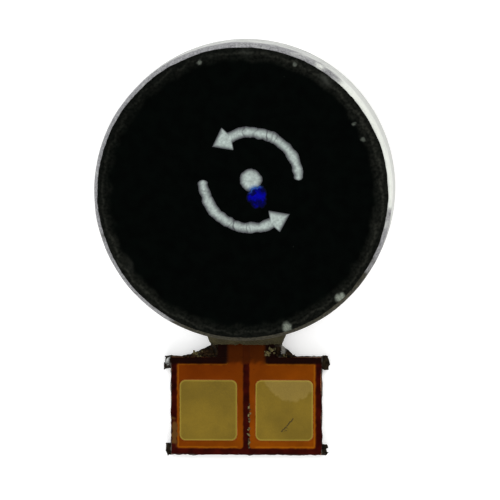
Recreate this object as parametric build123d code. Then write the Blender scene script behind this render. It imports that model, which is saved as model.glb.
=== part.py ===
from build123d import *
from math import asin, atan2, cos, degrees, radians, sin
import os

# Coin vibration motor with a flexible printed circuit tail.
# Frame: millimetres, +Z up along the shaft, origin on the shaft axis at the back face of the
# mounting tape, and the contact tail towards -Y.

# ---------------------------------------------------------------- driving dimensions
# Case and base plate
case_diameter = 10.0
body_height = 2.7            # base plate's back face to the case's top face
case_wall = 0.2
case_corner_radius = 0.45    # outside shoulder
bracket_thickness = 0.2
bracket_clearance = 0.02     # base plate's rim to the case's inside, radial
hub_wall = 0.35              # burring drawn up round the shaft
hub_height = 0.5             # above the base plate
detent_slots = 3             # windows that park the rotor off dead centre
detent_slot_radius = 3.3
detent_slot_width = 0.5
detent_slot_sweep = 26.0     # degrees
detent_slot_first = 30.0     # degrees from +X
weld_spot_count = 4
weld_spot_radius = 0.17
weld_spot_height = 0.03

# Mounting tape
tape_thickness = 0.1
tape_margin = 0.48           # base plate's rim beyond the tape

# Shaft, bush and washers
shaft_diameter = 0.8
shaft_press = 0.005          # radial interference in the hub and in the case's top
bush_running_clearance = 0.015
bush_wall = 0.42
washer_width = 0.32
washer_bore_clearance = 0.02
lower_washer_thickness = 0.06
upper_washer_thickness = 0.1
end_float = 0.03             # axial gap on each side of a washer

# Magnet
magnet_clearance = 0.5       # to the case's wall
magnet_inner_radius = 2.35
magnet_thickness = 0.65

# Flexible circuit layers
bond_thickness = 0.03
film_thickness = 0.03
copper_thickness = 0.03
coverlay_thickness = 0.03    # above the copper
plating_thickness = 0.01
fpc_disc_clearance = 0.4     # to the case's wall
fpc_hub_clearance = 0.15
fpc_neck_width = 1.9
window_clearance = 0.01      # coverlay window to what stands in it
tail_offset = 0.72           # case's wall to the tail's near edge
tail_margin_side = 0.18      # film beyond the copper
tail_margin_end = 0.2
trace_gap = 0.22             # between the two halves
neck_trace_width = 0.56
trace_arc_offset = 0.04      # conductor's arc beyond the brushes' roots
trace_arc_width = 0.45
pad_width = 1.94
pad_length = 2.05
pad_corner_radius = 0.2
pad_from_inner_edge = 0.2    # pad's edge to its copper's edge at the centre gap
pad_from_outer_edge = 0.09
pad_from_end = 0.26          # the same at the tail's end
pad_from_top = 0.57
copper_corner_radius = 0.08

# Base plate's tongue under the tail
tongue_margin = 0.03         # plate beyond the film
tongue_neck_width = 2.4
shoulder_offset = 0.32       # case's wall to where the neck starts to widen
shoulder_left = 1.95         # half-widths where the shoulders meet the tail
shoulder_right = 1.63
ear_reach_top = 0.2          # stubs of the carrier strip at the plate's corners
ear_length_top = 0.42
ear_reach_end = 0.14
ear_length_end = 0.38
relief_slot_width = 0.18     # slot in the right shoulder that leaves a thin leg beside it
relief_slot_x = 0.98         # its edge nearest the neck's middle
relief_slot_inset = 0.05     # from where the shoulders start and from the tail
notch_clearance = 0.05       # case notch round the tongue
notch_above_fpc = 0.08

# Brushes
brush_thickness = 0.05
brush_width = 0.6
brush_base_length = 0.5
brush_finger_gap = 0.12
brush_finger_length = 0.9
brush_root_inset = 0.75      # from the magnet's bore to where the arm leaves its base
brush_root_angle = 26.5      # degrees from the X axis
brush_tip_angle = -46.0
brush_crown_drop = 0.1       # the contact end curls down by this much
brush_crown_reach = 0.2
brush_bend_share = 0.35      # of a bend's drop, reached at the bend's middle
brush_contact_gap = 0.01     # crown to commutator
brush_hinge_gap = 0.02       # arm to its base
solder_thickness = 0.03
solder_margin = 0.06

# Rotor
rotor_air_gap = 0.18         # magnet to board
board_thickness = 0.15
board_core_margin = 0.2      # board beyond the segments
board_clearance = 0.4        # to the case's wall
rotor_sweep = 206.0          # degrees of full radius, centred on +Y
segment_count = 6
segment_thickness = 0.03
segment_offset = 0.18        # from the bush
segment_length = 0.95        # along the radius
segment_gap = 0.12
bush_hole_clearance = 0.02
potting_gap = 0.02           # moulding to what it holds
rotor_top_clearance = 0.3    # counterweight to the case's ceiling
moulding_below_weight = 0.08
moulding_hub_wall = 0.63
coil_below_weight = 0.16
coil_radial = 2.0            # outside size along the radius
coil_across = 2.3            # outside size across the radius
coil_winding_width = 0.62
coil_corner_radius = 0.8
coil_centre_inset = 1.1      # from the board's edge
coil_angle = 71.0            # each side of +Y
weight_offset = 0.3          # from the moulding's hub
weight_clearance = 0.3       # to the case's wall
weight_sweep = 82.0
lead_diameter = 0.07
lead_dot_radius = 0.15
lead_dot_height = 0.1
lead_dot_inset = 0.27        # from the board's core edge
lead_dot_angles = (-144, -101, -79, -36)

# Label
label_thickness = 0.05
label_edge_inset = 0.14      # the film wraps over the shoulder and ends short of the wall
ink_thickness = 0.01
mark_centre = (0.28, 0.43)
mark_radius = 1.6            # middle of the stroke
mark_stroke = 0.36
mark_sweep = 118.0           # degrees of each arc before its arrowhead
mark_head_length = 0.62
mark_head_width = 0.92
mark_spot_radius = 0.38      # round spot at the middle of the arrows
dot_centre = (0.485, -0.13)
dot_radius = 0.38
dot_thickness = 0.02         # laid over the edge of the spot

# Sealant where the tail leaves the case
sealant_half_width = 1.2
sealant_reach = 0.27         # beyond the case's wall
sealant_height = 0.7

# ---------------------------------------------------------------- derived sizes and places
case_radius = case_diameter / 2
case_inner_radius = case_radius - case_wall
shaft_radius = shaft_diameter / 2
hub_radius = shaft_radius + hub_wall
bush_radius = shaft_radius + bush_wall
washer_radius = shaft_radius + washer_width
bracket_radius = case_inner_radius - bracket_clearance
tape_radius = bracket_radius - tape_margin
magnet_outer_radius = case_inner_radius - magnet_clearance
fpc_disc_radius = case_inner_radius - fpc_disc_clearance
board_radius = case_inner_radius - board_clearance
weight_outer_radius = case_inner_radius - weight_clearance
label_radius = case_radius - label_edge_inset
segment_inner_radius = bush_radius + segment_offset
segment_outer_radius = segment_inner_radius + segment_length
board_core_radius = segment_outer_radius + board_core_margin
lead_dot_ring = board_core_radius - lead_dot_inset
moulding_hub_radius = bush_radius + moulding_hub_wall
weight_inner_radius = moulding_hub_radius + weight_offset
coil_centre_radius = board_radius - coil_centre_inset
brush_root_radius = magnet_inner_radius - brush_root_inset
brush_root_x = brush_root_radius * cos(radians(brush_root_angle))
brush_root_y = brush_root_radius * sin(radians(brush_root_angle))
brush_tip_radius = (segment_inner_radius + segment_outer_radius) / 2
brush_tip_x = brush_tip_radius * cos(radians(brush_tip_angle))
brush_tip_y = brush_tip_radius * sin(radians(brush_tip_angle))
trace_arc_radius = brush_root_radius + trace_arc_offset

z_bracket = tape_thickness
z_plate_top = z_bracket + bracket_thickness
z_case_top = z_bracket + body_height
z_case_ceiling = z_case_top - case_wall
z_film = z_plate_top + bond_thickness
z_copper = z_film + film_thickness
z_copper_top = z_copper + copper_thickness
z_fpc_top = z_copper_top + coverlay_thickness
z_brush = z_copper_top + solder_thickness
z_hub_top = z_plate_top + hub_height
z_magnet_top = z_fpc_top + magnet_thickness
z_board = z_magnet_top + rotor_air_gap
z_board_top = z_board + board_thickness
z_segments = z_board - segment_thickness
weight_height = z_case_ceiling - rotor_top_clearance - z_board_top
moulding_height = weight_height - moulding_below_weight
coil_height = weight_height - coil_below_weight
z_lower_washer = z_hub_top + end_float
z_bush = z_lower_washer + lower_washer_thickness + end_float
z_upper_washer = z_case_ceiling - end_float - upper_washer_thickness
z_bush_top = z_upper_washer - end_float

copper_inner_x = trace_gap / 2
copper_half_width = copper_inner_x + pad_from_inner_edge + pad_width + pad_from_outer_edge
tail_half_width = copper_half_width + tail_margin_side
tail_top_y = -(case_radius + tail_offset)
copper_top_y = tail_top_y - tail_margin_end
copper_end_y = copper_top_y - pad_from_top - pad_length - pad_from_end
tail_end_y = copper_end_y - tail_margin_end
pad_x = copper_inner_x + pad_from_inner_edge + pad_width / 2
pad_y = copper_end_y + pad_from_end + pad_length / 2
sides = {"left": -1, "right": 1}


# ---------------------------------------------------------------- helpers
def raised(sketch, bottom, height):
    """The sketch as a solid from one level up by a height."""
    return extrude(Pos(0, 0, bottom) * sketch, height)


def ring(outer, inner, bottom, height):
    return raised(Circle(outer) - Circle(inner), bottom, height)


def sector(outer, inner, start, sweep):
    """A flat piece of a ring from one angle through a sweep, in degrees from +X."""
    first, middle, last = (radians(start + share * sweep) for share in (0, 0.5, 1))

    def at(radius, angle):
        return radius * cos(angle), radius * sin(angle)

    edges = [
        ThreePointArc(at(outer, first), at(outer, middle), at(outer, last)),
        Line(at(outer, last), at(inner, last)),
        ThreePointArc(at(inner, last), at(inner, middle), at(inner, first)),
        Line(at(inner, first), at(outer, first)),
    ]
    return make_face(edges)


def block(x_low, x_high, y_low, y_high):
    """A flat rectangle between two corners."""
    return Pos((x_low + x_high) / 2, (y_low + y_high) / 2) * Rectangle(x_high - x_low, y_high - y_low)


def rounded_block(x_low, x_high, y_low, y_high, radius):
    return Pos((x_low + x_high) / 2, (y_low + y_high) / 2) * RectangleRounded(
        x_high - x_low, y_high - y_low, radius
    )


def turned(profile):
    """The profile, drawn as (radius, height) on the XZ plane, revolved about the shaft axis."""
    return revolve(profile, Axis.Z)


def solids(*shapes):
    """Separate solids kept together as one node."""
    return Compound(children=[solid for shape in shapes for solid in shape.solids()])


# ---------------------------------------------------------------- case and base plate
def tongue_outline():
    """The base plate's tongue: neck, sloping shoulders, the plate under the tail and its ears."""
    top, end = tail_top_y + tongue_margin, tail_end_y - tongue_margin
    half = tail_half_width + tongue_margin
    shoulder_start_y = -(case_radius + shoulder_offset)
    neck = block(-tongue_neck_width / 2, tongue_neck_width / 2, shoulder_start_y, 0)
    shoulders = make_face(
        Polyline(
            (-tongue_neck_width / 2, shoulder_start_y),
            (-shoulder_left, top),
            (shoulder_right, top),
            (tongue_neck_width / 2, shoulder_start_y),
            close=True,
        )
    )
    plate = block(-half, half, end, top)
    slot_top = shoulder_start_y - relief_slot_inset
    slot = block(relief_slot_x, relief_slot_x + relief_slot_width, top + relief_slot_inset / 2, slot_top)
    ears = block(-half - ear_reach_top, half + ear_reach_top, top - ear_length_top, top)
    ears += block(-half - ear_reach_end, half + ear_reach_end, end, end + ear_length_end)
    return neck + shoulders + plate + ears - slot


def bracket():
    plate = raised(Circle(bracket_radius) + tongue_outline(), z_bracket, bracket_thickness)
    hub = raised(Circle(hub_radius), z_bracket, bracket_thickness + hub_height)
    body = plate + hub
    body -= raised(Circle(shaft_radius - shaft_press), z_bracket, bracket_thickness + hub_height)
    for number in range(detent_slots):
        middle = detent_slot_first + 360 * number / detent_slots
        slot = sector(
            detent_slot_radius + detent_slot_width / 2,
            detent_slot_radius - detent_slot_width / 2,
            middle - detent_slot_sweep / 2,
            detent_slot_sweep,
        )
        body -= raised(slot, z_bracket, bracket_thickness)
    return body


def case():
    inner_corner = case_corner_radius - case_wall
    shoulder_x = case_radius - case_corner_radius
    shoulder_z = z_case_top - case_corner_radius
    slant = sin(radians(45))
    bore = shaft_radius - shaft_press
    edges = [
        Line((bore, 0, z_case_top), (shoulder_x, 0, z_case_top)),
        ThreePointArc(
            (shoulder_x, 0, z_case_top),
            (shoulder_x + case_corner_radius * slant, 0, shoulder_z + case_corner_radius * slant),
            (case_radius, 0, shoulder_z),
        ),
        Line((case_radius, 0, shoulder_z), (case_radius, 0, z_bracket)),
        Line((case_radius, 0, z_bracket), (case_inner_radius, 0, z_bracket)),
        Line((case_inner_radius, 0, z_bracket), (case_inner_radius, 0, shoulder_z)),
        ThreePointArc(
            (case_inner_radius, 0, shoulder_z),
            (shoulder_x + inner_corner * slant, 0, shoulder_z + inner_corner * slant),
            (shoulder_x, 0, z_case_ceiling),
        ),
        Line((shoulder_x, 0, z_case_ceiling), (bore, 0, z_case_ceiling)),
        Line((bore, 0, z_case_ceiling), (bore, 0, z_case_top)),
    ]
    shell = turned(make_face(edges))
    half = tongue_neck_width / 2 + notch_clearance
    notch = block(-half, half, -case_radius - case_wall, -case_inner_radius + case_wall)
    return shell - raised(notch, z_bracket, z_fpc_top + notch_above_fpc - z_bracket)


def weld_spots():
    """Laser welds across the seam between the case's wall and the base plate, on the back."""
    spots = []
    for number in range(weld_spot_count):
        spot = raised(
            Pos(case_inner_radius, 0) * Circle(weld_spot_radius),
            z_bracket - weld_spot_height,
            weld_spot_height,
        )
        spots.append(Rot(0, 0, 360 * (number + 0.5) / weld_spot_count) * spot)
    return solids(*spots)


def mounting_tape():
    return raised(Circle(tape_radius), 0, tape_thickness)


# ---------------------------------------------------------------- shaft, washers, magnet
def shaft():
    return raised(Circle(shaft_radius), z_bracket, body_height)


def washer(bottom, thickness):
    return ring(washer_radius, shaft_radius + washer_bore_clearance, bottom, thickness)


def ring_magnet():
    return ring(magnet_outer_radius, magnet_inner_radius, z_fpc_top, magnet_thickness)


# ---------------------------------------------------------------- flexible circuit
def fpc_outline():
    """Disc round the hub, neck and tail, in one sheet."""
    disc = Circle(fpc_disc_radius)
    neck = block(-fpc_neck_width / 2, fpc_neck_width / 2, tail_top_y, 0)
    tail = block(-tail_half_width, tail_half_width, tail_end_y, tail_top_y)
    return disc + neck + tail - Circle(hub_radius + fpc_hub_clearance)


def brush_place(side):
    """Where a brush's arm leaves its base, and the arm's heading, in degrees from +X."""
    heading = degrees(atan2(brush_tip_y - brush_root_y, side * (brush_tip_x - brush_root_x)))
    return Pos(side * brush_root_x, brush_root_y) * Rot(0, 0, heading)


def land_outline(side, margin):
    """Flat outline of a brush's base on its land, grown by a margin."""
    pad = Rectangle(
        brush_base_length + 2 * margin, brush_width + 2 * margin, align=(Align.MAX, Align.CENTER)
    )
    return brush_place(side) * Pos(margin, 0) * pad


def copper_outline(side):
    """One conductor: tail area, neck strip, the arc round the hub and the brush land."""
    tail_edges = sorted((side * copper_inner_x, side * copper_half_width))
    tail = rounded_block(*tail_edges, copper_end_y, copper_top_y, copper_corner_radius)
    neck_edges = sorted((side * copper_inner_x, side * (copper_inner_x + neck_trace_width)))
    neck = block(*neck_edges, copper_top_y - copper_corner_radius * 2, -trace_arc_radius)
    start_angle = 90 if side < 0 else 270
    half_ring = sector(
        trace_arc_radius + trace_arc_width / 2,
        trace_arc_radius - trace_arc_width / 2,
        start_angle,
        180,
    )
    reach = trace_arc_radius + trace_arc_width
    keep = sorted((side * copper_inner_x, side * reach))
    arc = half_ring & block(*keep, -reach, brush_root_y)
    return tail + neck + arc + land_outline(side, solder_margin * 2)


def copper_trace(side):
    return raised(copper_outline(side), z_copper, copper_thickness)


def pad_outline(side, grow=0.0):
    width, length = pad_width + 2 * grow, pad_length + 2 * grow
    return Pos(side * pad_x, pad_y) * RectangleRounded(width, length, pad_corner_radius + grow)


def fpc_coverlay():
    """Top film: fills in round the copper and covers it, with windows over pads and lands."""
    height = copper_thickness + coverlay_thickness
    sheet = raised(fpc_outline(), z_copper, height)
    for side in sides.values():
        sheet -= copper_trace(side)
        sheet -= raised(pad_outline(side, window_clearance), z_copper_top, coverlay_thickness)
        window = land_outline(side, solder_margin + window_clearance)
        sheet -= raised(window, z_copper_top, coverlay_thickness)
    return sheet


def terminal_pad(side):
    return raised(pad_outline(side), z_copper_top, plating_thickness)


# ---------------------------------------------------------------- brushes
def strip(points, thickness):
    """A closed outline of one thickness whose middle follows the points."""
    upper, lower = [], []
    for index, point in enumerate(points):
        before = points[max(index - 1, 0)]
        after = points[min(index + 1, len(points) - 1)]
        run, rise = after[0] - before[0], after[1] - before[1]
        length = (run**2 + rise**2) ** 0.5
        across = (-rise / length * thickness / 2, run / length * thickness / 2)
        upper.append((point[0] + across[0], point[1] + across[1]))
        lower.append((point[0] - across[0], point[1] - across[1]))
    return make_face(Polyline(*upper, *reversed(lower), close=True))


def brush_base(side):
    return raised(land_outline(side, 0), z_brush, brush_thickness)


def brush_solder():
    return solids(
        *(
            raised(land_outline(side, solder_margin), z_copper_top, solder_thickness)
            for side in sides.values()
        )
    )


def brush_arm(side):
    """Leaf rising from its base to the commutator, split into two fingers with curled ends."""
    length = ((brush_tip_x - brush_root_x) ** 2 + (brush_tip_y - brush_root_y) ** 2) ** 0.5
    root_z = brush_thickness / 2
    crown_z = z_segments - brush_contact_gap - brush_thickness / 2 - z_brush
    # the crown is a short flat where the leaf touches, with bends spread over half its reach
    bend = brush_crown_reach / 2
    slope = (crown_z - root_z) / length
    points = [
        (brush_hinge_gap, root_z),
        (length - 2 * bend, crown_z - slope * bend * 4 * brush_bend_share),
        (length - bend, crown_z - slope * bend * brush_bend_share),
        (length, crown_z),
        (length + bend, crown_z - brush_crown_drop * brush_bend_share),
        (length + 2 * bend, crown_z - brush_crown_drop),
    ]
    profile = Plane.XZ * strip(points, brush_thickness)
    leaf = extrude(profile, brush_width / 2, both=True)
    gap_start = length - brush_finger_length
    gap = Pos((gap_start + length + 3 * bend) / 2, 0, crown_z / 2) * Box(
        length + 3 * bend - gap_start, brush_finger_gap, crown_z * 2 + brush_width
    )
    return Pos(0, 0, z_brush) * brush_place(side) * (leaf - gap)


# ---------------------------------------------------------------- rotor
def rotor_outline(radius, core_radius):
    start = 90 - rotor_sweep / 2
    return Circle(core_radius) + sector(radius, shaft_radius, start, rotor_sweep)


def bush():
    outer = Circle(bush_radius) - Circle(shaft_radius + bush_running_clearance)
    return raised(outer, z_bush, z_bush_top - z_bush)


def commutator_board():
    outline = rotor_outline(board_radius, board_core_radius)
    return raised(outline - Circle(bush_radius + bush_hole_clearance), z_board, board_thickness)


def commutator_segments():
    pitch = 360 / segment_count
    middle_radius = (segment_inner_radius + segment_outer_radius) / 2
    gap_sweep = degrees(segment_gap / middle_radius)
    return solids(
        *(
            raised(
                sector(
                    segment_outer_radius,
                    segment_inner_radius,
                    90 + pitch * number + gap_sweep / 2,
                    pitch - gap_sweep,
                ),
                z_segments,
                segment_thickness,
            )
            for number in range(segment_count)
        )
    )


def coil_place(side):
    return Rot(0, 0, 90 - side * coil_angle) * Pos(coil_centre_radius, 0)


def coil_outline(grow=0.0):
    return RectangleRounded(
        coil_radial + 2 * grow, coil_across + 2 * grow, coil_corner_radius + grow
    )


def coil(side):
    """Self-bonded air coil: a rounded ring of wound wire."""
    ring_outline = coil_outline() - coil_outline(-coil_winding_width)
    return raised(coil_place(side) * ring_outline, z_board_top, coil_height)


def weight_outline(grow=0.0):
    extra = degrees(grow / weight_inner_radius)
    return sector(
        weight_outer_radius + grow,
        weight_inner_radius - grow,
        90 - weight_sweep / 2 - extra,
        weight_sweep + 2 * extra,
    )


def counterweight():
    return raised(weight_outline(), z_board_top, weight_height)


def rotor_moulding():
    """Resin that holds coils, weight and bush on the board, with an island inside each coil."""
    outline = rotor_outline(board_radius, moulding_hub_radius)
    body = raised(outline, z_board_top, moulding_height)
    body -= raised(Circle(bush_radius + potting_gap), z_board_top, moulding_height)
    body -= raised(weight_outline(potting_gap), z_board_top, moulding_height)
    for side in sides.values():
        pocket = coil_outline(potting_gap) - coil_outline(-coil_winding_width - potting_gap)
        body -= raised(coil_place(side) * pocket, z_board_top, moulding_height)
    for rod in lead_runs(lead_diameter / 2 + potting_gap):
        body -= rod
    return solids(body)


def coil_solder_joints():
    return solids(
        *(
            raised(lead_dot_place(angle) * Circle(lead_dot_radius), z_board_top, lead_dot_height)
            for angle in lead_dot_angles
        )
    )


def lead_dot_place(angle):
    return Rot(0, 0, angle) * Pos(lead_dot_ring, 0)


def lead_runs(radius):
    """The coils' wire ends as rods from each coil's middle to its solder joint."""
    level = z_board_top + lead_diameter / 2
    rods = []
    for angle in lead_dot_angles:
        dot = lead_dot_place(angle).position
        centre = coil_place(-1 if dot.X < 0 else 1).position
        start = Vector(centre.X, centre.Y, level)
        end = Vector(dot.X, dot.Y, level)
        run = end - start
        plane = Plane(origin=start, z_dir=run.normalized())
        rods.append(extrude(plane * Circle(radius), run.length))
    return rods


def coil_leads():
    """Wire ends lying on the board, each from its coil's side to its solder joint."""
    coils = [raised(coil_place(side) * coil_outline(), z_board_top, coil_height) for side in (-1, 1)]
    dots = coil_solder_joints().solids()
    return solids(*(rod - coils - dots for rod in lead_runs(lead_diameter / 2)))


# ---------------------------------------------------------------- label and sealant
def label_film():
    """Printed film on the case's top face, its edge pressed down over the shoulder."""
    shoulder_x = case_radius - case_corner_radius
    shoulder_z = z_case_top - case_corner_radius
    wrap = asin((label_radius - shoulder_x) / (case_corner_radius + label_thickness))

    def on_shoulder(radius, angle):
        return shoulder_x + radius * sin(angle), 0, shoulder_z + radius * cos(angle)

    outer = case_corner_radius + label_thickness
    z_top = z_case_top + label_thickness
    edges = [
        Line((0, 0, z_case_top), (0, 0, z_top)),
        Line((0, 0, z_top), (shoulder_x, 0, z_top)),
        ThreePointArc((shoulder_x, 0, z_top), on_shoulder(outer, wrap / 2), on_shoulder(outer, wrap)),
        Line(on_shoulder(outer, wrap), on_shoulder(case_corner_radius, wrap)),
        ThreePointArc(
            on_shoulder(case_corner_radius, wrap),
            on_shoulder(case_corner_radius, wrap / 2),
            (shoulder_x, 0, z_case_top),
        ),
        Line((shoulder_x, 0, z_case_top), (0, 0, z_case_top)),
    ]
    return turned(make_face(edges))


def direction_mark():
    """Printed sign for rotation: two arrows that chase each other round a spot."""
    level = z_case_top + label_thickness
    pieces = [raised(Pos(*mark_centre) * Circle(mark_spot_radius), level, ink_thickness)]
    for start in (0, 180):
        band = sector(
            mark_radius + mark_stroke / 2, mark_radius - mark_stroke / 2, start, mark_sweep
        )
        tip_angle = degrees(mark_head_length / mark_radius)
        head = Rot(0, 0, start + mark_sweep) * make_face(
            Polyline(
                (mark_radius - mark_head_width / 2, 0),
                (mark_radius + mark_head_width / 2, 0),
                (mark_radius * cos(radians(tip_angle)), mark_radius * sin(radians(tip_angle))),
                close=True,
            )
        )
        pieces.append(raised(Pos(*mark_centre) * (band + head), level, ink_thickness))
    return solids(*pieces)


def inspection_dot():
    """Drop of marking ink on the film that laps over the edge of the printed spot."""
    level = z_case_top + label_thickness
    return raised(Pos(*dot_centre) * Circle(dot_radius), level, dot_thickness) - direction_mark()


def exit_sealant():
    """Resin that closes the case's notch above the tail and stands out over its neck as a bead."""
    half = tongue_neck_width / 2 + notch_clearance
    opening = block(-half, half, -case_radius, 0)
    wall = Circle(case_radius) - Circle(case_inner_radius)
    fill = raised(opening & wall, z_fpc_top, notch_above_fpc)
    reach = case_radius + sealant_reach
    bead_outline = block(-sealant_half_width, sealant_half_width, -reach, 0) - Circle(case_radius)
    # the bead and the fill share the wall's outside face over the notch's height
    bead = raised(bead_outline, z_fpc_top, sealant_height)
    return bead + fill


# ---------------------------------------------------------------- all nodes
nodes = {
    "mounting_tape": mounting_tape(),
    "bracket": bracket(),
    "case": case(),
    "weld_spots": weld_spots(),
    "shaft": shaft(),
    "lower_thrust_washer": washer(z_lower_washer, lower_washer_thickness),
    "upper_thrust_washer": washer(z_upper_washer, upper_washer_thickness),
    "ring_magnet": ring_magnet(),
    "fpc_bond_sheet": raised(fpc_outline(), z_plate_top, bond_thickness),
    "fpc_base_film": raised(fpc_outline(), z_film, film_thickness),
    "fpc_coverlay": fpc_coverlay(),
    "brush_solder": brush_solder(),
    "bush": bush(),
    "commutator_board": commutator_board(),
    "commutator_segments": commutator_segments(),
    "counterweight": counterweight(),
    "rotor_moulding": rotor_moulding(),
    "coil_solder_joints": coil_solder_joints(),
    "coil_leads": coil_leads(),
    "label_film": label_film(),
    "direction_mark": direction_mark(),
    "inspection_dot": inspection_dot(),
    "exit_sealant": exit_sealant(),
}
for name, side in sides.items():
    nodes[f"copper_trace_{name}"] = copper_trace(side)
    nodes[f"terminal_pad_{name}"] = terminal_pad(side)
    nodes[f"brush_base_{name}"] = brush_base(side)
    nodes[f"brush_arm_{name}"] = brush_arm(side)
    nodes[f"coil_{name}"] = coil(side)

os.makedirs("parts", exist_ok=True)
for name, shape in nodes.items():
    export_step(shape, f"parts/{name}.step")
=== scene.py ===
import math

import bmesh
import bpy
import numpy as np
from bpy.props import FloatProperty, FloatVectorProperty, IntProperty, PointerProperty
from mathutils import Matrix, Vector


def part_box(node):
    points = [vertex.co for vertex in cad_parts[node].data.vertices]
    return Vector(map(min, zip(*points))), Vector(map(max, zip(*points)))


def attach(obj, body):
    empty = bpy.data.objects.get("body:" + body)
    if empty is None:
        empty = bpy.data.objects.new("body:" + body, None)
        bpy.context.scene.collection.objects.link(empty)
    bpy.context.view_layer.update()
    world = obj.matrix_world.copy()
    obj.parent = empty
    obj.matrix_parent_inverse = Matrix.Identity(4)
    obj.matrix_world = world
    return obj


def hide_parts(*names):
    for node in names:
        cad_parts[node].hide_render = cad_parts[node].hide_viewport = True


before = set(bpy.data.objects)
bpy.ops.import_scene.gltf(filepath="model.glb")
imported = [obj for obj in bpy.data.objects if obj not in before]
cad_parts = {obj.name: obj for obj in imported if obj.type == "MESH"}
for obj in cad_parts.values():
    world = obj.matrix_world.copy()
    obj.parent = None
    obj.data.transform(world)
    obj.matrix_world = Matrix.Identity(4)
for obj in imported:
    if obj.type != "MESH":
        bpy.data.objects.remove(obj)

bl_info = {
    "name": "Coin Motor Looks",
    "version": (1, 0, 0),
    "blender": (4, 5, 0),
    "location": "View3D > Sidebar > Coin Motor",
    "description": "Builds the visible surfaces and finishes of a flat vibration motor round its CAD frame",
    "category": "Object",
}

# Sizes below are in millimetres; a mesh is scaled to metres when it is made.
MM = 0.001
TURN = 2 * math.pi
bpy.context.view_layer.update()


def corners(node):
    """A CAD node's lowest and highest corner in millimetres."""
    return tuple(tuple(float(v) / MM for v in corner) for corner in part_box(node))


case_low, case_high = corners("case")
film_low, film_high = corners("label_film")
plate_low, plate_high = corners("bracket")
tape_low, tape_high = corners("mounting_tape")
cover_low, cover_high = corners("fpc_coverlay")
copper_low, copper_high = corners("copper_trace_right")
bead_low, bead_high = corners("exit_sealant")
dot_low, dot_high = corners("inspection_dot")
mark_low, mark_high = corners("direction_mark")
magnet_low, magnet_high = corners("ring_magnet")
shaft_low, shaft_high = corners("shaft")
bush_low, bush_high = corners("bush")
board_low, board_high = corners("commutator_board")
weight_low, weight_high = corners("counterweight")
weld_low, weld_high = corners("weld_spots")

CASE_RADIUS = case_high[0]
CASE_TOP = case_high[2]
CASE_FOOT = case_low[2]
FILM_TOP = film_high[2]
FILM_RADIUS = film_high[0]
COVER_TOP = cover_high[2]
COVER_FOOT = cover_low[2]
COPPER_TOP = copper_high[2]
TAIL_END = cover_low[1]
PLATE_TOP = COVER_FOOT - 0.06
pad_low, pad_high = corners("terminal_pad_right")
COPPER_START = pad_high[1] + 0.57
TAIL_START = COPPER_START + 0.2
TAIL_HALF = copper_high[0] + 0.18
PLATE_START = TAIL_START + 0.03
PLATE_HALF = TAIL_HALF + 0.03
NECK_HALF = 0.95
NECK_COPPER = 0.56           # width of a conductor in the neck
ARC_RADIUS, ARC_HALF = 1.64, 0.225  # conductor round the hub: middle and half its width
DISC_HOLE, DISC_RIM = 0.92, 4.39    # cover film inside the cup
PAD_CORNER = 0.2
MAGNET_BORE = 2.35
WEIGHT_INNER, WEIGHT_OUTER, WEIGHT_SWEEP = 1.75, 4.5, math.radians(82)
SEGMENT_INNER, SEGMENT_OUTER, SEGMENT_GAP, SEGMENTS = 1.0, 1.95, 0.12, 6
SPOT_RADIUS = 0.38           # white spot amid the arrows
ARROW_TIP = 0.62             # length of an arrowhead
PRINT_SINK = 0.004           # how far a print's base lies in the film
INK_SOFT = 0.19              # width over which ink thins at its edge
STEEL = (208, 211, 204)
STAIN_AT = (-2.42, -8.25)    # brown stain on the cover film
GLINT_AT = (-2.65, -5.88)    # painted highlight on an ear
LEG_X, LEG_Y = (1.17, 1.3), (-5.6, -5.3)  # thin leg beside the relief slot
# Heaps of resin flakes: middle, height, count and spread.
HEAPS = (
    (-1.68, -5.61, PLATE_TOP + 0.05, 16, 0.1),
    (0.74, -5.56, COVER_TOP, 26, 0.07),
    (0.87, -5.44, COVER_TOP, 16, 0.05),
    (1.3, -5.66, PLATE_TOP + 0.02, 5, 0.05),
)
# Rubs on the film's edge: middle, size and strength.
SCUFFS = (
    (3.28, -3.5, 0.15, 0.75),
    (1.48, -4.5, 0.14, 0.6),
    (-1.45, 4.34, 0.07, 0.3),
    (1.75, 4.3, 0.06, 0.28),
    (3.74, 2.33, 0.05, 0.25),
    (4.02, 1.8, 0.06, 0.22),
)


def paint(red, green, blue):
    """The linear colour that nodes take, from display values of 0 to 255."""
    value = np.array([red, green, blue]) / 255
    linear = np.where(value < 0.04045, value / 12.92, ((value + 0.055) / 1.055) ** 2.4)
    return tuple(float(v) for v in linear)


# ---------------------------------------------------------------- settings
def length(name, description, default):
    """A length setting, its default in millimetres."""
    return FloatProperty(name=name, description=description, default=default * MM, unit="LENGTH")


def angle(name, description, default):
    """An angle setting, its default in degrees."""
    return FloatProperty(name=name, description=description, default=math.radians(default), unit="ROTATION")


def tint(name, description, *default):
    """A colour setting, its default in display values."""
    return FloatVectorProperty(name=name, description=description, default=paint(*default), size=3,
                               subtype="COLOR")


class CoinCaseSettings(bpy.types.PropertyGroup):
    """Steel cup and the film on its face."""

    wall: length("Wall", "Thickness of the drawn cup", 0.2)
    shoulder: length("Shoulder", "Outside radius between the face and the wall", 0.45)
    ripple: length("Ripple", "Height of the cup's drawing marks", 0.004)
    wrinkle: length("Wrinkle", "Height of the film's puckers on the shoulder", 0.012)
    steel: tint("Steel", "Colour of the cup", *STEEL)
    film: tint("Film", "Colour of the printed film", 2, 4, 3)


class CoinPrintSettings(bpy.types.PropertyGroup):
    """Arrows and marking dot."""

    radius: length("Radius", "Middle of the arrows' stroke", 1.6)
    stroke: length("Stroke", "Width of the arrows' line", 0.36)
    head: length("Head width", "Width of an arrowhead", 0.92)
    sweep: angle("Sweep", "Arc of one arrow before its head", 118)
    ink: tint("Ink", "Colour of the print", 166, 178, 173)
    dot: tint("Dot", "Colour of the marking dot", 0, 0, 132)


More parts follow.
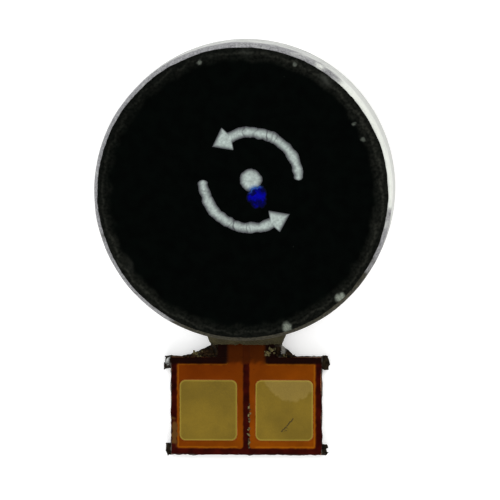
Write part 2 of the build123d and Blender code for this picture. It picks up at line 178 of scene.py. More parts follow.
class CoinTailSettings(bpy.types.PropertyGroup):
    """Flexible circuit and its contacts."""

    amber: tint("Amber", "Cover film over copper", 118, 56, 1)
    gold: tint("Contact", "Plating of the contacts", 125, 102, 24)
    sealant: tint("Sealant", "Bead where the tail leaves the cup", 60, 56, 38)
    crumbs: IntProperty(name="Crumbs", description="Flakes of resin left by assembly", default=46, min=0)


class CoinStageSettings(bpy.types.PropertyGroup):
    """Camera, floor and lights."""

    lean_x: angle("Lean right", "Camera's tilt towards +X", 3.0)
    lean_y: angle("Lean up", "Camera's tilt towards +Y", 4.4)
    distance: length("Distance", "Camera to the face", 371.2)
    lens: FloatProperty(name="Lens", description="Focal length", default=800.0, subtype="DISTANCE_CAMERA")
    glow: FloatProperty(name="Glow", description="Strength of the light from all round", default=0.82)
    floor: tint("Floor", "Colour of the floor", 250, 250, 250)


# Finishes by slot, filled by CoinMakeFinishes.
finishes = {}


# ---------------------------------------------------------------- surfaces
def rounded_path(points, radius, step, closed=True):
    """Corners joined by straight runs, each corner replaced by an arc tangent to both of its runs.

    The arc from unit spoke p to unit spoke q over the angle w is (sin((1-t)w) p + sin(t w) q) / sin w.
    Runs are divided evenly so that none is longer than the step.
    """
    points = np.asarray(points, float)
    radii = np.broadcast_to(radius, len(points))
    parts = []
    for number, corner in enumerate(points):
        at_end = not closed and number in (0, len(points) - 1)
        if at_end or radii[number] <= 0:
            parts.append(corner[None])
            continue
        back = points[number - 1] - corner
        ahead = points[(number + 1) % len(points)] - corner
        back, ahead = back / np.linalg.norm(back), ahead / np.linalg.norm(ahead)
        half = math.acos(float(np.clip(back @ ahead, -1, 1))) / 2
        middle = (back + ahead) / np.linalg.norm(back + ahead)
        centre = corner + middle * radii[number] / math.sin(half)
        tangent = radii[number] / math.tan(half)
        sweep = math.pi - 2 * half
        t = np.linspace(0, 1, max(4, round(sweep / 0.16)))[:, None]
        start, end = corner + back * tangent - centre, corner + ahead * tangent - centre
        parts.append(centre + (np.sin((1 - t) * sweep) * start + np.sin(t * sweep) * end) / math.sin(sweep))
    path = np.vstack(parts)
    if closed:
        path = np.vstack([path, path[:1]])
    runs = np.linalg.norm(np.diff(path, axis=0), axis=1)
    counts = np.maximum(1, np.ceil(runs / step)).astype(int)
    which = np.repeat(np.arange(len(runs)), counts)
    t = (np.arange(len(which)) - np.repeat(np.cumsum(counts) - counts, counts)) / counts[which]
    even = path[which] * (1 - t[:, None]) + path[which + 1] * t[:, None]
    return even if closed else np.vstack([even, path[-1:]])


def skin(rows, ring=False, **marks):
    """A closed surface from a grid of points: every row is a loop, and row follows row.

    The rows run round too if ring is set; otherwise a fan to its own middle closes each end row.
    Marks are values for each grid point. The faces are turned outwards by the sign of the volume,
    the sum over triangles of a . (b x c) / 6.
    """
    rows = np.asarray(rows, float)
    count, around = rows.shape[:2]
    grid = np.arange(count * around).reshape(count, around)
    points = rows.reshape(-1, 3)
    values = {name: np.broadcast_to(mark, (count, around)).ravel() for name, mark in marks.items()}
    loops = np.vstack([grid, grid[:1]]) if ring else grid
    near, far = loops[:-1], loops[1:]
    quads = np.stack([near, np.roll(near, -1, 1), np.roll(far, -1, 1), far], -1).reshape(-1, 4)
    triangles = np.empty((0, 3), int)
    if not ring:
        first, last, tip = grid[0], grid[-1], len(points)
        points = np.vstack([points, rows[0].mean(0), rows[-1].mean(0)])
        start = np.stack([np.full(around, tip), np.roll(first, -1), first], -1)
        end = np.stack([np.full(around, tip + 1), last, np.roll(last, -1)], -1)
        triangles = np.vstack([start, end])
        values = {n: np.append(v, [v[:around].mean(), v[-around:].mean()]) for n, v in values.items()}
    split = np.vstack([quads[:, [0, 1, 2]], quads[:, [0, 2, 3]], triangles])
    a, b, c = points[split[:, 0]], points[split[:, 1]], points[split[:, 2]]
    if np.einsum("ij,ij->", a, np.cross(b, c)) < 0:
        quads, triangles = quads[:, ::-1], triangles[:, ::-1]
    return points, quads, triangles, values


def revolve(outline, angles):
    """The point (r, z) of an outline at the angle a lies at (r cos a, r sin a, z)."""
    radius, height = outline[:, 0, None], outline[:, 1, None]
    return xyz(radius * np.cos(angles), radius * np.sin(angles), height)


def xyz(x, y, z):
    """Points from coordinates that are broadcast against each other."""
    return np.stack(np.broadcast_arrays(x, y, z), -1)


def circle(count):
    """Angles evenly spaced round a turn."""
    return np.arange(count) * TURN / count


def turned(points, easing, step=0.08, columns=360, solid_centre=False):
    """An eased outline of (r, z) corners carried round the axis, from axis to axis if the centre is solid."""
    outline = rounded_path(points, easing, step, closed=not solid_centre)
    return skin(revolve(outline, circle(columns)), ring=not solid_centre)


def unevenness(points, size, seed, waves=20):
    """Plane sine waves in random directions, from a third of a size to the whole of it long, added up.

    The sum is scaled so that it seldom leaves -1 to 1.
    """
    random = np.random.default_rng(seed)
    heading = random.normal(size=(waves, 3))
    heading /= np.linalg.norm(heading, axis=1, keepdims=True)
    length = size * random.uniform(0.33, 1.0, waves)
    phase = random.uniform(0, TURN, waves)
    return np.sin(np.asarray(points) @ (heading.T * TURN / length) + phase).sum(-1) / math.sqrt(waves)


def step_down(distance, width):
    """1 well inside (negative distance), 0 well outside, with a smooth cubic ramp of that width between."""
    t = np.clip(0.5 - distance / width, 0, 1)
    return t * t * (3 - 2 * t)


def box_distance(x, y, x_range, y_range, radius=0.0):
    """Signed distance to a rounded rectangle: the length of the overhang beyond its core, less the radius."""
    half_x, half_y = (x_range[1] - x_range[0]) / 2, (y_range[1] - y_range[0]) / 2
    over_x = np.abs(x - sum(x_range) / 2) - half_x + radius
    over_y = np.abs(y - sum(y_range) / 2) - half_y + radius
    outside = np.hypot(np.maximum(over_x, 0), np.maximum(over_y, 0))
    return outside + np.minimum(np.maximum(over_x, over_y), 0) - radius


def segment_distance(x, y, start, end):
    """Distance to a straight stroke: to the nearest point a + t (b - a), with t held from 0 to 1."""
    run = np.subtract(end, start)
    t = np.clip(((x - start[0]) * run[0] + (y - start[1]) * run[1]) / (run @ run), 0, 1)
    return np.hypot(x - start[0] - t * run[0], y - start[1] - t * run[1])


def lump(centre, radii, seed, rough=0.25, count=14):
    """A pebble: an ellipsoid on rings of latitude whose radius is stretched by 1 + rough x unevenness."""
    latitude = np.linspace(0.06, math.pi - 0.06, count)[:, None]
    longitude = circle(count + 4)
    ring = np.sin(latitude)
    unit = xyz(ring * np.cos(longitude), ring * np.sin(longitude), np.cos(latitude))
    return skin(np.asarray(centre) + unit * np.asarray(radii) * (1 + rough * unevenness(unit, 1.6,
                                                                                        seed))[..., None])


def piece(name, skins, slot, *nodes, body="motor_base", sharp=35.0, look=None):
    """One object at the origin from closed skins, with its marks as attributes, riding on a body.

    Its finish is its slot's, or look's if that is given.
    """
    counts = [len(s[0]) for s in skins]
    shift = np.cumsum([0] + counts[:-1])
    points = np.vstack([s[0] for s in skins]) * MM
    quads = np.vstack([s[1] + o for s, o in zip(skins, shift)])
    triangles = np.vstack([s[2] + o for s, o in zip(skins, shift)])
    mesh = bpy.data.meshes.new(name)
    mesh.vertices.add(len(points))
    mesh.vertices.foreach_set("co", points.astype(np.float32).ravel())
    mesh.loops.add(quads.size + triangles.size)
    mesh.loops.foreach_set("vertex_index", np.concatenate([quads.ravel(),
                                                           triangles.ravel()]).astype(np.int32))
    mesh.polygons.add(len(quads) + len(triangles))
    starts = np.concatenate([np.arange(len(quads)) * 4, quads.size + np.arange(len(triangles)) * 3])
    mesh.polygons.foreach_set("loop_start", starts.astype(np.int32))
    mesh.update(calc_edges=True)
    mesh.validate()
    for label in sorted({n for s in skins for n in s[3]}):
        set_mark(mesh, label, np.concatenate([s[3].get(label, np.zeros(n)) for s, n in zip(skins, counts)]))
    return place(name, mesh, slot, nodes, body, sharp, look)


def set_mark(mesh, label, values):
    """Values for a mesh's points, kept as an attribute."""
    mesh.attributes.new(label, "FLOAT", "POINT").data.foreach_set("value", values.astype(np.float32))


def place(name, mesh, slot, nodes, body="motor_base", sharp=35.0, look=None):
    """Smooth shading with creases, finish, body, replaced nodes and slot for a finished mesh."""
    mesh.shade_smooth()
    mesh.set_sharp_from_angle(angle=math.radians(sharp))
    mesh.materials.clear()
    mesh.materials.append(finishes[look or slot])
    made = bpy.data.objects.new(name, mesh)
    bpy.context.scene.collection.objects.link(made)
    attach(made, body)
    if nodes:
        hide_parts(*nodes)
    return made


def dress(node, name):
    """A CAD node keeps its mesh and takes a finish."""
    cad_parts[node].data.materials[0] = finishes[name]


def merged_copy(node):
    """A CAD node's triangles in a new bmesh with shared corners merged and flat faces joined."""
    copy = bmesh.new()
    copy.from_mesh(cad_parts[node].data)
    bmesh.ops.remove_doubles(copy, verts=copy.verts, dist=1e-7)
    bmesh.ops.dissolve_limit(copy, angle_limit=math.radians(0.5), verts=copy.verts, edges=copy.edges)
    return copy


def eased_node(name, node, body, slot, width):
    """A merged copy of a CAD node with its sharp edges bevelled by that width."""
    copy = merged_copy(node)
    mesh = bpy.data.meshes.new(name)
    copy.to_mesh(mesh)
    copy.free()
    made = place(name, mesh, slot, (node,), body)
    bevel = made.modifiers.new("Eased edges", "BEVEL")
    bevel.width = width * MM
    bevel.segments = 2
    bevel.limit_method = "ANGLE"
    bevel.angle_limit = math.radians(40)
    bevel.harden_normals = True
    return made


# ---------------------------------------------------------------- shader parts
def add(tree, kind, inputs=None, **settings):
    """A node with its settings, and its inputs either linked from a socket or given a value."""
    node = tree.nodes.new(kind)
    for key, value in settings.items():
        setattr(node, key, value)
    for key, value in (inputs or {}).items():
        connect(tree, node.inputs[key], value)
    return node


def connect(tree, socket, value):
    """Links a socket to a socket, or sets its own value."""
    if isinstance(value, bpy.types.NodeSocket):
        tree.links.new(value, socket)
    elif socket.type == "RGBA" and len(value) == 3:
        socket.default_value = (*value, 1)
    else:
        socket.default_value = value


def blend(tree, factor, low, high, mode="MIX"):
    """Colour between low and high."""
    node = add(tree, "ShaderNodeMix", data_type="RGBA", blend_type=mode)
    for index, value in ((0, factor), (6, low), (7, high)):
        connect(tree, node.inputs[index], value)
    return node.outputs[2]


def ramp(tree, value, start, end, low=0.0, high=1.0):
    """Value's range from start to end carried smoothly to low to high."""
    inputs = {"Value": value, "From Min": start, "From Max": end, "To Min": low, "To Max": high}
    return add(tree, "ShaderNodeMapRange", inputs, interpolation_type="SMOOTHSTEP").outputs["Result"]


def maths(tree, operation, first, second=0.5):
    """One Math node's result."""
    return add(tree, "ShaderNodeMath", {0: first, 1: second}, operation=operation).outputs[0]


def mark(tree, name):
    """The piece's own attribute of that name."""
    return add(tree, "ShaderNodeAttribute", attribute_name=name).outputs["Fac"]


def effect(name, inputs, outputs):
    """An empty shader node group with named sockets: its tree, input sockets and output node."""
    tree = bpy.data.node_groups.new(name, "ShaderNodeTree")
    for label, kind, value in inputs:
        socket = tree.interface.new_socket(name=label, in_out="INPUT", socket_type=f"NodeSocket{kind}")
        if value is not None:
            socket.default_value = value
    for label, kind in outputs:
        tree.interface.new_socket(name=label, in_out="OUTPUT", socket_type=f"NodeSocket{kind}")
    return tree, tree.nodes.new("NodeGroupInput").outputs, tree.nodes.new("NodeGroupOutput").inputs


def use(tree, name, **inputs):
    """One of the shared effects placed in a material; underscores in input names stand for spaces."""
    node = tree.nodes.new("ShaderNodeGroup")
    node.node_tree = bpy.data.node_groups[name]
    for key, value in inputs.items():
        connect(tree, node.inputs[key.replace("_", " ")], value)
    return node.outputs


def make_effects():
    """The effects that several finishes share."""
    tree, given, result = effect("Millimetre Space", [("Turn", "Vector", None)], [("Vector", "Vector")])
    place_in_mm = add(tree, "ShaderNodeMapping", {"Scale": (1 / MM, 1 / MM, 1 / MM),
                                                  "Rotation": given["Turn"]})
    tree.links.new(add(tree, "ShaderNodeTexCoord").outputs["Object"], place_in_mm.inputs["Vector"])
    tree.links.new(place_in_mm.outputs["Vector"], result["Vector"])

    tree, given, result = effect(
        "Uneven Colour",
        [
            ("Vector", "Vector", None),
            ("Scale", "Float", 1.0),
            ("Detail", "Float", 5.0),
            ("Contrast", "Float", 0.5),
            ("Low", "Color", (0.1, 0.1, 0.1, 1)),
            ("High", "Color", (0.2, 0.2, 0.2, 1)),
        ],
        [("Color", "Color"), ("Mask", "Float")],
    )
    noise = add(tree, "ShaderNodeTexNoise", {k: given[k] for k in ("Vector", "Scale",
                                                                   "Detail")}).outputs["Fac"]
    spread = maths(tree, "MULTIPLY", given["Contrast"], 0.5)
    low, high = maths(tree, "SUBTRACT", 0.5, spread), maths(tree, "ADD", 0.5, spread)
    mask = ramp(tree, noise, low, high)
    tree.links.new(mask, result["Mask"])
    tree.links.new(blend(tree, mask, given["Low"], given["High"]), result["Color"])

    tree, given, result = effect(
        "Fine Grain",
        [("Vector", "Vector", None), ("Scale", "Float", 20.0), ("Coarse", "Float", 0.4)],
        [("Height", "Float")],
    )
    fine = add(tree, "ShaderNodeTexNoise", {"Vector": given["Vector"], "Scale": given["Scale"],
                                            "Detail": 3.0})
    wide_scale = maths(tree, "MULTIPLY", given["Scale"], 0.18)
    wide = add(tree, "ShaderNodeTexNoise", {"Vector": given["Vector"], "Scale": wide_scale, "Detail": 2.0})
    swell = maths(tree, "MULTIPLY", wide.outputs["Fac"], given["Coarse"])
    tree.links.new(maths(tree, "ADD", fine.outputs["Fac"], swell), result["Height"])

    tree, given, result = effect(
        "Specks",
        [("Vector", "Vector", None), ("Scale", "Float", 4.0), ("Share", "Float", 0.1),
         ("Size", "Float", 0.25)],
        [("Mask", "Float")],
    )
    bend = add(tree, "ShaderNodeTexNoise", {"Vector": given["Vector"], "Scale": 9.0,
                                            "Detail": 2.0}).outputs["Color"]
    moved = add(tree, "ShaderNodeVectorMath", {0: bend, 3: 0.16}, operation="SCALE").outputs[0]
    near = add(tree, "ShaderNodeVectorMath", {0: given["Vector"], 1: moved}, operation="ADD").outputs[0]
    cells = add(tree, "ShaderNodeTexVoronoi", {"Vector": near, "Scale": given["Scale"]})
    kept = maths(tree, "LESS_THAN", add(tree, "ShaderNodeSeparateColor",
                                        {0: cells.outputs["Color"]}).outputs[0],
                 given["Share"])
    body_of_speck = ramp(tree, cells.outputs["Distance"], given["Size"], 0.0)
    tree.links.new(maths(tree, "MULTIPLY", kept, body_of_speck), result["Mask"])

    tree, given, result = effect(
        "Hairlines",
        [("Vector", "Vector", None), ("Scale", "Float", 3.0), ("Stretch", "Vector", (1, 12, 1)),
         ("Share", "Float", 0.3)],
        [("Mask", "Float")],
    )
    long_space = add(tree, "ShaderNodeVectorMath", {0: given["Vector"], 1: given["Stretch"]},
                     operation="MULTIPLY")
    lines = add(tree, "ShaderNodeTexNoise", {"Vector": long_space.outputs[0], "Scale": given["Scale"],
                                             "Detail": 4.0})
    from_middle = maths(tree, "ABSOLUTE", maths(tree, "SUBTRACT", lines.outputs["Fac"], 0.5))
    width = maths(tree, "MULTIPLY", given["Share"], 0.1)
    tree.links.new(ramp(tree, from_middle, width, 0.0), result["Mask"])


def finish(name, low, high, patch, roughness, grain, contrast=0.5, specks=None, lines=None, layers=None,
           turn=(0, 0, 0), **constants):
    """A procedural finish: clouded colour, its own roughness, a fine grain, specks and hairlines if asked.

    grain is (scale per mm, strength, depth in mm), specks (colour, scale, share, size) and lines (colour,
    scale, stretch, share, weight). layers takes the tree, the space, the colour, the roughness and the
    height, and returns the last three painted on.
    """
    material = bpy.data.materials.new(name)
    material.use_nodes = True
    tree = material.node_tree
    shader = tree.nodes["Principled BSDF"]
    for key, value in constants.items():
        connect(tree, shader.inputs[key.replace("_", " ")], value)
    space = use(tree, "Millimetre Space", Turn=turn)["Vector"]
    tone = use(tree, "Uneven Colour", Vector=space, Scale=patch, Contrast=contrast, Low=low, High=high)
    colour, rough = tone["Color"], ramp(tree, tone["Mask"], 0.0, 1.0, *roughness)
    height = use(tree, "Fine Grain", Vector=space, Scale=grain[0])["Height"]
    if lines:
        tint, scale, stretch, share, weight = lines
        hair = use(tree, "Hairlines", Vector=space, Scale=scale, Stretch=stretch, Share=share)["Mask"]
        colour = blend(tree, maths(tree, "MULTIPLY", hair, weight), colour, tint)
        height = maths(tree, "SUBTRACT", height, maths(tree, "MULTIPLY", hair, weight))
    if specks:
        tint, scale, share, size = specks
        dust = use(tree, "Specks", Vector=space, Scale=scale, Share=share, Size=size)["Mask"]
        colour = blend(tree, dust, colour, tint)
        height = maths(tree, "ADD", height, dust)
    if layers:
        colour, rough, height = layers(tree, space, colour, rough, height)
    bump = add(tree, "ShaderNodeBump", {"Height": height, "Strength": grain[1], "Distance": grain[2] * MM})
    tree.links.new(colour, shader.inputs["Base Color"])
    tree.links.new(rough, shader.inputs["Roughness"])
    tree.links.new(bump.outputs["Normal"], shader.inputs["Normal"])
    return material


def wash(tree, colour, label, weight, *tone):
    """Colour painted with a display tone, as strongly as the weight times the piece's mark of that name."""
    return blend(tree, maths(tree, "MULTIPLY", mark(tree, label), weight), colour, paint(*tone))


def clouds(tree, space, scale, detail, contrast, low=(0, 0, 0), high=(255, 255, 255)):
    """Clouds between two display tones: the node group's colour and mask."""
    return use(tree, "Uneven Colour", Vector=space, Scale=scale, Detail=detail, Contrast=contrast,
               Low=paint(*low), High=paint(*high))


def shade(colour, factor):
    """A colour made lighter or darker."""
    return tuple(min(1.0, c * factor) for c in tuple(colour)[:3])


def case_layers(tree, space, colour, rough, height):
    """Painted shade with grime on the cup: dull grey where its mask is low, dark resin and painted shade
    where high. The wall is painted darker, as painted shade.
    """
    dirt_and_shade = clouds(tree, space, 12.0, 8.0, 0.6, (26, 26, 20), (66, 63, 50))
    dull = clouds(tree, space, 16.0, 6.0, 0.5, (98, 98, 100), (148, 148, 150))["Color"]
    # painted shade: the wall takes a darker copy of the steel than the shoulder
    colour = blend(tree, mark(tree, "wall"), colour, shade(paint(*STEEL), 0.64))
    amount = maths(tree, "ADD", mark(tree, "grime"), maths(tree, "MULTIPLY", dirt_and_shade["Mask"], 0.12))
    cover = ramp(tree, amount, 0.1, 0.5)
    film = blend(tree, ramp(tree, amount, 0.62, 0.9), dull, dirt_and_shade["Color"])
    tree.links.new(ramp(tree, cover, 0.0, 1.0, 1.0, 0.0), tree.nodes["Principled BSDF"].inputs["Metallic"])
    return blend(tree, cover, colour, film), ramp(tree, cover, 0.0, 1.0, 0.36, 0.7), height


def film_layers(tree, space, colour, rough, height):
    """Olive flecks and pale rubs that show only where the film turns down over the shoulder."""
    edge = mark(tree, "shoulder")
    flecks = clouds(tree, space, 11.0, 8.0, 0.7)["Mask"]
    worn = maths(tree, "MULTIPLY", edge, ramp(tree, flecks, 0.0, 1.0, 0.15, 1.0))
    colour = blend(tree, worn, colour, paint(42, 43, 38))
    rub = use(tree, "Specks", Vector=space, Scale=1.1, Share=0.22, Size=0.42)["Mask"]
    colour = blend(tree, maths(tree, "MULTIPLY", rub, edge), colour, paint(54, 56, 52))
    powder = ramp(tree, clouds(tree, space, 18.0, 5.0, 0.8)["Mask"], 0.0, 1.0, 0.45, 1.0)
    colour = blend(tree, maths(tree, "MULTIPLY", mark(tree, "scuff"), powder), colour, paint(150, 158, 146))
    return colour, rough, height


def ink_layers(tree, space, colour, rough, height):
    """Thin ink: it fades to the film's black towards its edges and at hairline breaks."""
    cover = mark(tree, "cover")
    mottle = clouds(tree, space, 14.0, 6.0, 0.7)["Mask"]
    thin = maths(tree, "MULTIPLY", cover, ramp(tree, mottle, 0.0, 1.0, 0.7, 1.0))
    colour = blend(tree, ramp(tree, mark(tree, "over_white"), 0.0, 1.0, 0.0, 0.9), colour, paint(44, 88, 150))
    return blend(tree, thin, paint(52, 50, 56), colour), rough, height


def dot_layers(tree, space, colour, rough, height):
    """Marking ink: dark where it lies thick, pale blue where it bleeds over the white spot."""
    clots = clouds(tree, space, 4.2, 4.0, 0.16)["Mask"]
    colour = blend(tree, maths(tree, "MULTIPLY", clots, 0.9), colour, paint(0, 0, 40))
    bleed = maths(tree, "MULTIPLY", mark(tree, "over_white"), ramp(tree, mark(tree, "cover"), 1.0, 0.1))
    colour = blend(tree, bleed, colour, paint(62, 104, 170))
    return blend(tree, ramp(tree, mark(tree, "cover"), 0.6, 0.0), colour, paint(2, 3, 14)), rough, height


def circuit_layers(tree, space, colour, rough, height):
    """Amber over copper with painted shade towards the upper left and over the neck, maroon to black beside
    it, and a painted highlight line along the copper's edges.
    """
    place_in_mm = add(tree, "ShaderNodeSeparateXYZ", {"Vector": space}).outputs
    # painted shade: the amber darkens towards the tail's upper left
    slope = maths(tree, "SUBTRACT", place_in_mm["X"], place_in_mm["Y"])
    shadow_gradient = maths(tree, "MULTIPLY", ramp(tree, slope, 9.5, 4.5), 0.6)
    colour = blend(tree, shadow_gradient, colour, paint(88, 28, 0))
    colour = wash(tree, colour, "shaded", 0.7, 40, 14, 1)
    bare = clouds(tree, space, 2.6, 4.0, 0.6, (24, 2, 1), (56, 8, 3))["Color"]
    colour = blend(tree, mark(tree, "over_copper"), bare, colour)
    # painted highlight along the copper's edges
    colour = wash(tree, colour, "edge_line", 0.6, 158, 96, 10)
    colour = wash(tree, colour, "soot", 0.9, 15, 4, 2)
    return wash(tree, colour, "stain", 0.8, 86, 58, 26), rough, height


def pad_layers(tree, space, colour, rough, height):
    """Plating with a paler rim, a painted sheen patch as painted highlight, and a dark scratch."""
    # painted highlight on the sheen patch
    colour = wash(tree, colour, "rubbed", 0.55, 146, 124, 62)
    hatch = use(tree, "Hairlines", Vector=space, Scale=5.0, Stretch=(1.0, 9.0, 1.0), Share=0.5)["Mask"]
    hatched = maths(tree, "MULTIPLY", hatch, mark(tree, "hatched"))
    colour = blend(tree, maths(tree, "MULTIPLY", hatched, 0.45), colour, paint(84, 70, 26))
    sand = clouds(tree, space, 26.0, 2.0, 0.6)["Mask"]
    colour = blend(tree, maths(tree, "MULTIPLY", sand, 0.22), colour, paint(92, 74, 20))
    colour = wash(tree, colour, "rim", 0.75, 166, 148, 56)
    colour = blend(tree, mark(tree, "scratch"), colour, paint(58, 46, 20))
    return colour, rough, height


def plate_layers(tree, space, colour, rough, height):
    """Sheared steel with brown-black flux left on the tongue's top edges, and a painted highlight on one ear.
    """
    soot = clouds(tree, space, 7.0, 7.0, 0.5, (3, 1, 1), (42, 33, 20))
    burnt = mark(tree, "flux")
    tree.links.new(ramp(tree, burnt, 0.0, 1.0, 0.85, 0.1), tree.nodes["Principled BSDF"].inputs["Metallic"])
    colour = blend(tree, mark(tree, "glint"), blend(tree, burnt, colour, soot["Color"]), paint(214, 218, 216))
    return colour, ramp(tree, burnt, 0.0, 1.0, 0.4, 0.85), height


def make_finishes(case, prints, tail):
    """Every finish by its slot in the record, and the two residues' finishes."""
    steel, film, ink, dot, amber, gold, resin = (
        tuple(c) for c in (case.steel, case.film, prints.ink, prints.dot, tail.amber, tail.gold, tail.sealant)
    )
    table = {
        "case_steel": ("Drawn steel", shade(steel, 0.86), shade(steel, 1.04),
            1.4, (0.3, 0.42), (34, 0.4, 0.008), dict(
                lines=(shade(steel, 0.6), 1.6, (6, 6, 0.5), 0.3, 0.16),
                specks=(shade(steel, 0.4), 7.0, 0.08, 0.2), layers=case_layers, Specular_IOR_Level=0.12)),
        "label_black": ("Printed film", shade(film, 0.5), shade(film, 1.1),
            2.5, (0.56, 0.6), (42, 0.35, 0.003), dict(specks=(paint(30, 33, 30), 3.4, 0.06, 0.09),
                layers=film_layers, Specular_IOR_Level=0.008)),
        "white_ink": ("White ink", shade(ink, 0.8), shade(ink, 1.12),
            9.0, (0.6, 0.8), (36, 0.5, 0.006), dict(layers=ink_layers, Specular_IOR_Level=0.05)),
        "blue_ink": ("Marking ink", shade(dot, 0.5), shade(dot, 1.3),
            5.0, (0.35, 0.5), (24, 0.4, 0.006), dict(layers=dot_layers, Specular_IOR_Level=0.03)),
        "polyimide": ("Amber film", shade(amber, 0.74), shade(amber, 1.1),
            1.3, (0.34, 0.5), (26, 0.3, 0.006), dict(layers=circuit_layers,
                specks=(paint(70, 28, 2), 6.0, 0.1, 0.2), Specular_IOR_Level=0.02)),
        "gold_plating": ("Contact plating", shade(gold, 0.78), shade(gold, 1.05),
            1.2, (0.42, 0.56), (34, 0.7, 0.012), dict(layers=pad_layers,
                specks=(shade(gold, 0.6), 12.0, 0.2, 0.2), turn=(0, 0, math.radians(42)), Metallic=0.75)),
        "bracket_steel": ("Sheared steel", paint(122, 120, 114), paint(150, 148, 140),
            1.6, (0.35, 0.5), (22, 0.5, 0.015), dict(layers=plate_layers,
                lines=(paint(84, 82, 76), 2.0, (1, 10, 1), 0.3, 0.5), Specular_IOR_Level=0.08)),
        "sealant": ("Sealing resin", shade(resin, 0.62), shade(resin, 1.12),
            3.4, (0.45, 0.7), (18, 0.7, 0.02), dict(specks=(paint(34, 30, 20), 6.5, 0.2, 0.24),
                Specular_IOR_Level=0.06)),
        "adhesive_tape": ("Double-sided tape", paint(230, 228, 216), paint(238, 237, 228),
            0.9, (0.45, 0.62), (12, 0.4, 0.02), dict(specks=(paint(186, 182, 166), 2.4, 0.1, 0.14),
                Coat_Weight=0.15)),
        "weld_metal": ("Weld metal", paint(92, 84, 76), paint(168, 160, 150),
            5.0, (0.35, 0.6), (20, 0.6, 0.012), dict(Metallic=0.9)),
        "shaft_steel": ("Ground steel", paint(178, 178, 176), paint(206, 206, 204),
            2.0, (0.16, 0.26), (40, 0.2, 0.004), dict(
                lines=(paint(140, 140, 138), 3.0, (1, 1, 14), 0.3, 0.4), Metallic=1.0)),
        "magnet_plating": ("Nickel plating", paint(170, 166, 154), paint(208, 204, 194),
            0.8, (0.24, 0.4), (26, 0.3, 0.008), dict(specks=(paint(126, 120, 108), 3.0, 0.12, 0.14),
                Metallic=1.0)),
        "bond_adhesive": ("Bonding adhesive", paint(74, 44, 20), paint(112, 72, 34),
            2.4, (0.5, 0.7), (14, 0.5, 0.01), dict()),
        "base_film": ("Amber base film", paint(140, 74, 10), paint(176, 98, 18),
            1.2, (0.3, 0.45), (24, 0.3, 0.006), dict(specks=(paint(96, 46, 6), 5.0, 0.1, 0.16))),
        "copper": ("Rolled copper", paint(170, 92, 54), paint(206, 124, 78),
            1.6, (0.26, 0.42), (26, 0.4, 0.006), dict(
                lines=(paint(120, 62, 36), 2.6, (10, 1, 1), 0.35, 0.5), Metallic=1.0)),
        "solder": ("Solder", paint(150, 150, 148), paint(198, 198, 196),
            4.0, (0.2, 0.42), (12, 0.5, 0.015), dict(specks=(paint(84, 74, 56), 4.0, 0.16, 0.2),
                Metallic=1.0)),
        "brush_alloy": ("Spring alloy", paint(168, 142, 92), paint(208, 184, 128),
            1.8, (0.2, 0.34), (30, 0.3, 0.006), dict(
                lines=(paint(130, 106, 62), 3.0, (12, 1, 1), 0.3, 0.4), Metallic=1.0)),
        "sintered_bronze": ("Sintered bronze", paint(134, 96, 52), paint(190, 148, 92),
            6.0, (0.45, 0.65), (16, 0.8, 0.02), dict(specks=(paint(54, 36, 18), 11.0, 0.3, 0.3),
                Metallic=0.9)),
        "board_laminate": ("Board laminate", paint(26, 84, 44), paint(44, 116, 62),
            1.0, (0.34, 0.5), (12, 0.4, 0.01), dict(lines=(paint(70, 136, 84), 8.0, (1, 6, 1), 0.5, 0.25),
                Coat_Weight=0.3)),
        "tungsten_alloy": ("Tungsten alloy", paint(92, 92, 94), paint(136, 136, 138),
            3.0, (0.42, 0.6), (14, 0.7, 0.02), dict(specks=(paint(56, 56, 58), 8.0, 0.24, 0.22),
                Metallic=1.0)),
        "moulding_resin": ("Moulding resin", paint(34, 34, 37), paint(56, 56, 60),
            1.4, (0.4, 0.6), (16, 0.6, 0.012), dict(specks=(paint(84, 84, 86), 9.0, 0.12, 0.14))),
        "enamelled_copper": ("Enamelled wire", paint(150, 60, 24), paint(196, 92, 38),
            4.0, (0.2, 0.34), (18, 0.3, 0.006), dict(lines=(paint(104, 36, 14), 4.0, (1, 1, 14), 0.4, 0.5),
                Metallic=0.8, Coat_Weight=0.4)),
        "washer_film": ("Washer film", paint(206, 204, 190), paint(230, 229, 218),
            3.0, (0.3, 0.45), (20, 0.3, 0.006), dict(specks=(paint(160, 156, 140), 7.0, 0.12, 0.2))),
        "crumb": ("Pale crumbs", paint(34, 29, 16), paint(112, 104, 68),
            9.0, (0.6, 0.8), (16, 0.6, 0.02), dict(contrast=0.35, Specular_IOR_Level=0.08)),
        "flux": ("Burnt flux", paint(4, 2, 1), paint(44, 31, 16),
            6.0, (0.45, 0.8), (14, 0.8, 0.02), dict(contrast=0.3, Specular_IOR_Level=0.06)),
    }
    return {slot: finish(*row[:-1], **row[-1]) for slot, row in table.items()}


# ---------------------------------------------------------------- case and film
def notch_lift(angles):
    """How far the cup's rim is raised at each angle: a gate with short smooth flanks round the tail."""
    half = math.asin(bead_high[0] / CASE_RADIUS)
    away = np.abs((angles - 1.5 * math.pi + math.pi) % TURN - math.pi)
    return step_down(away - half, math.radians(0.5)) * (COVER_TOP + 0.08 - CASE_FOOT)


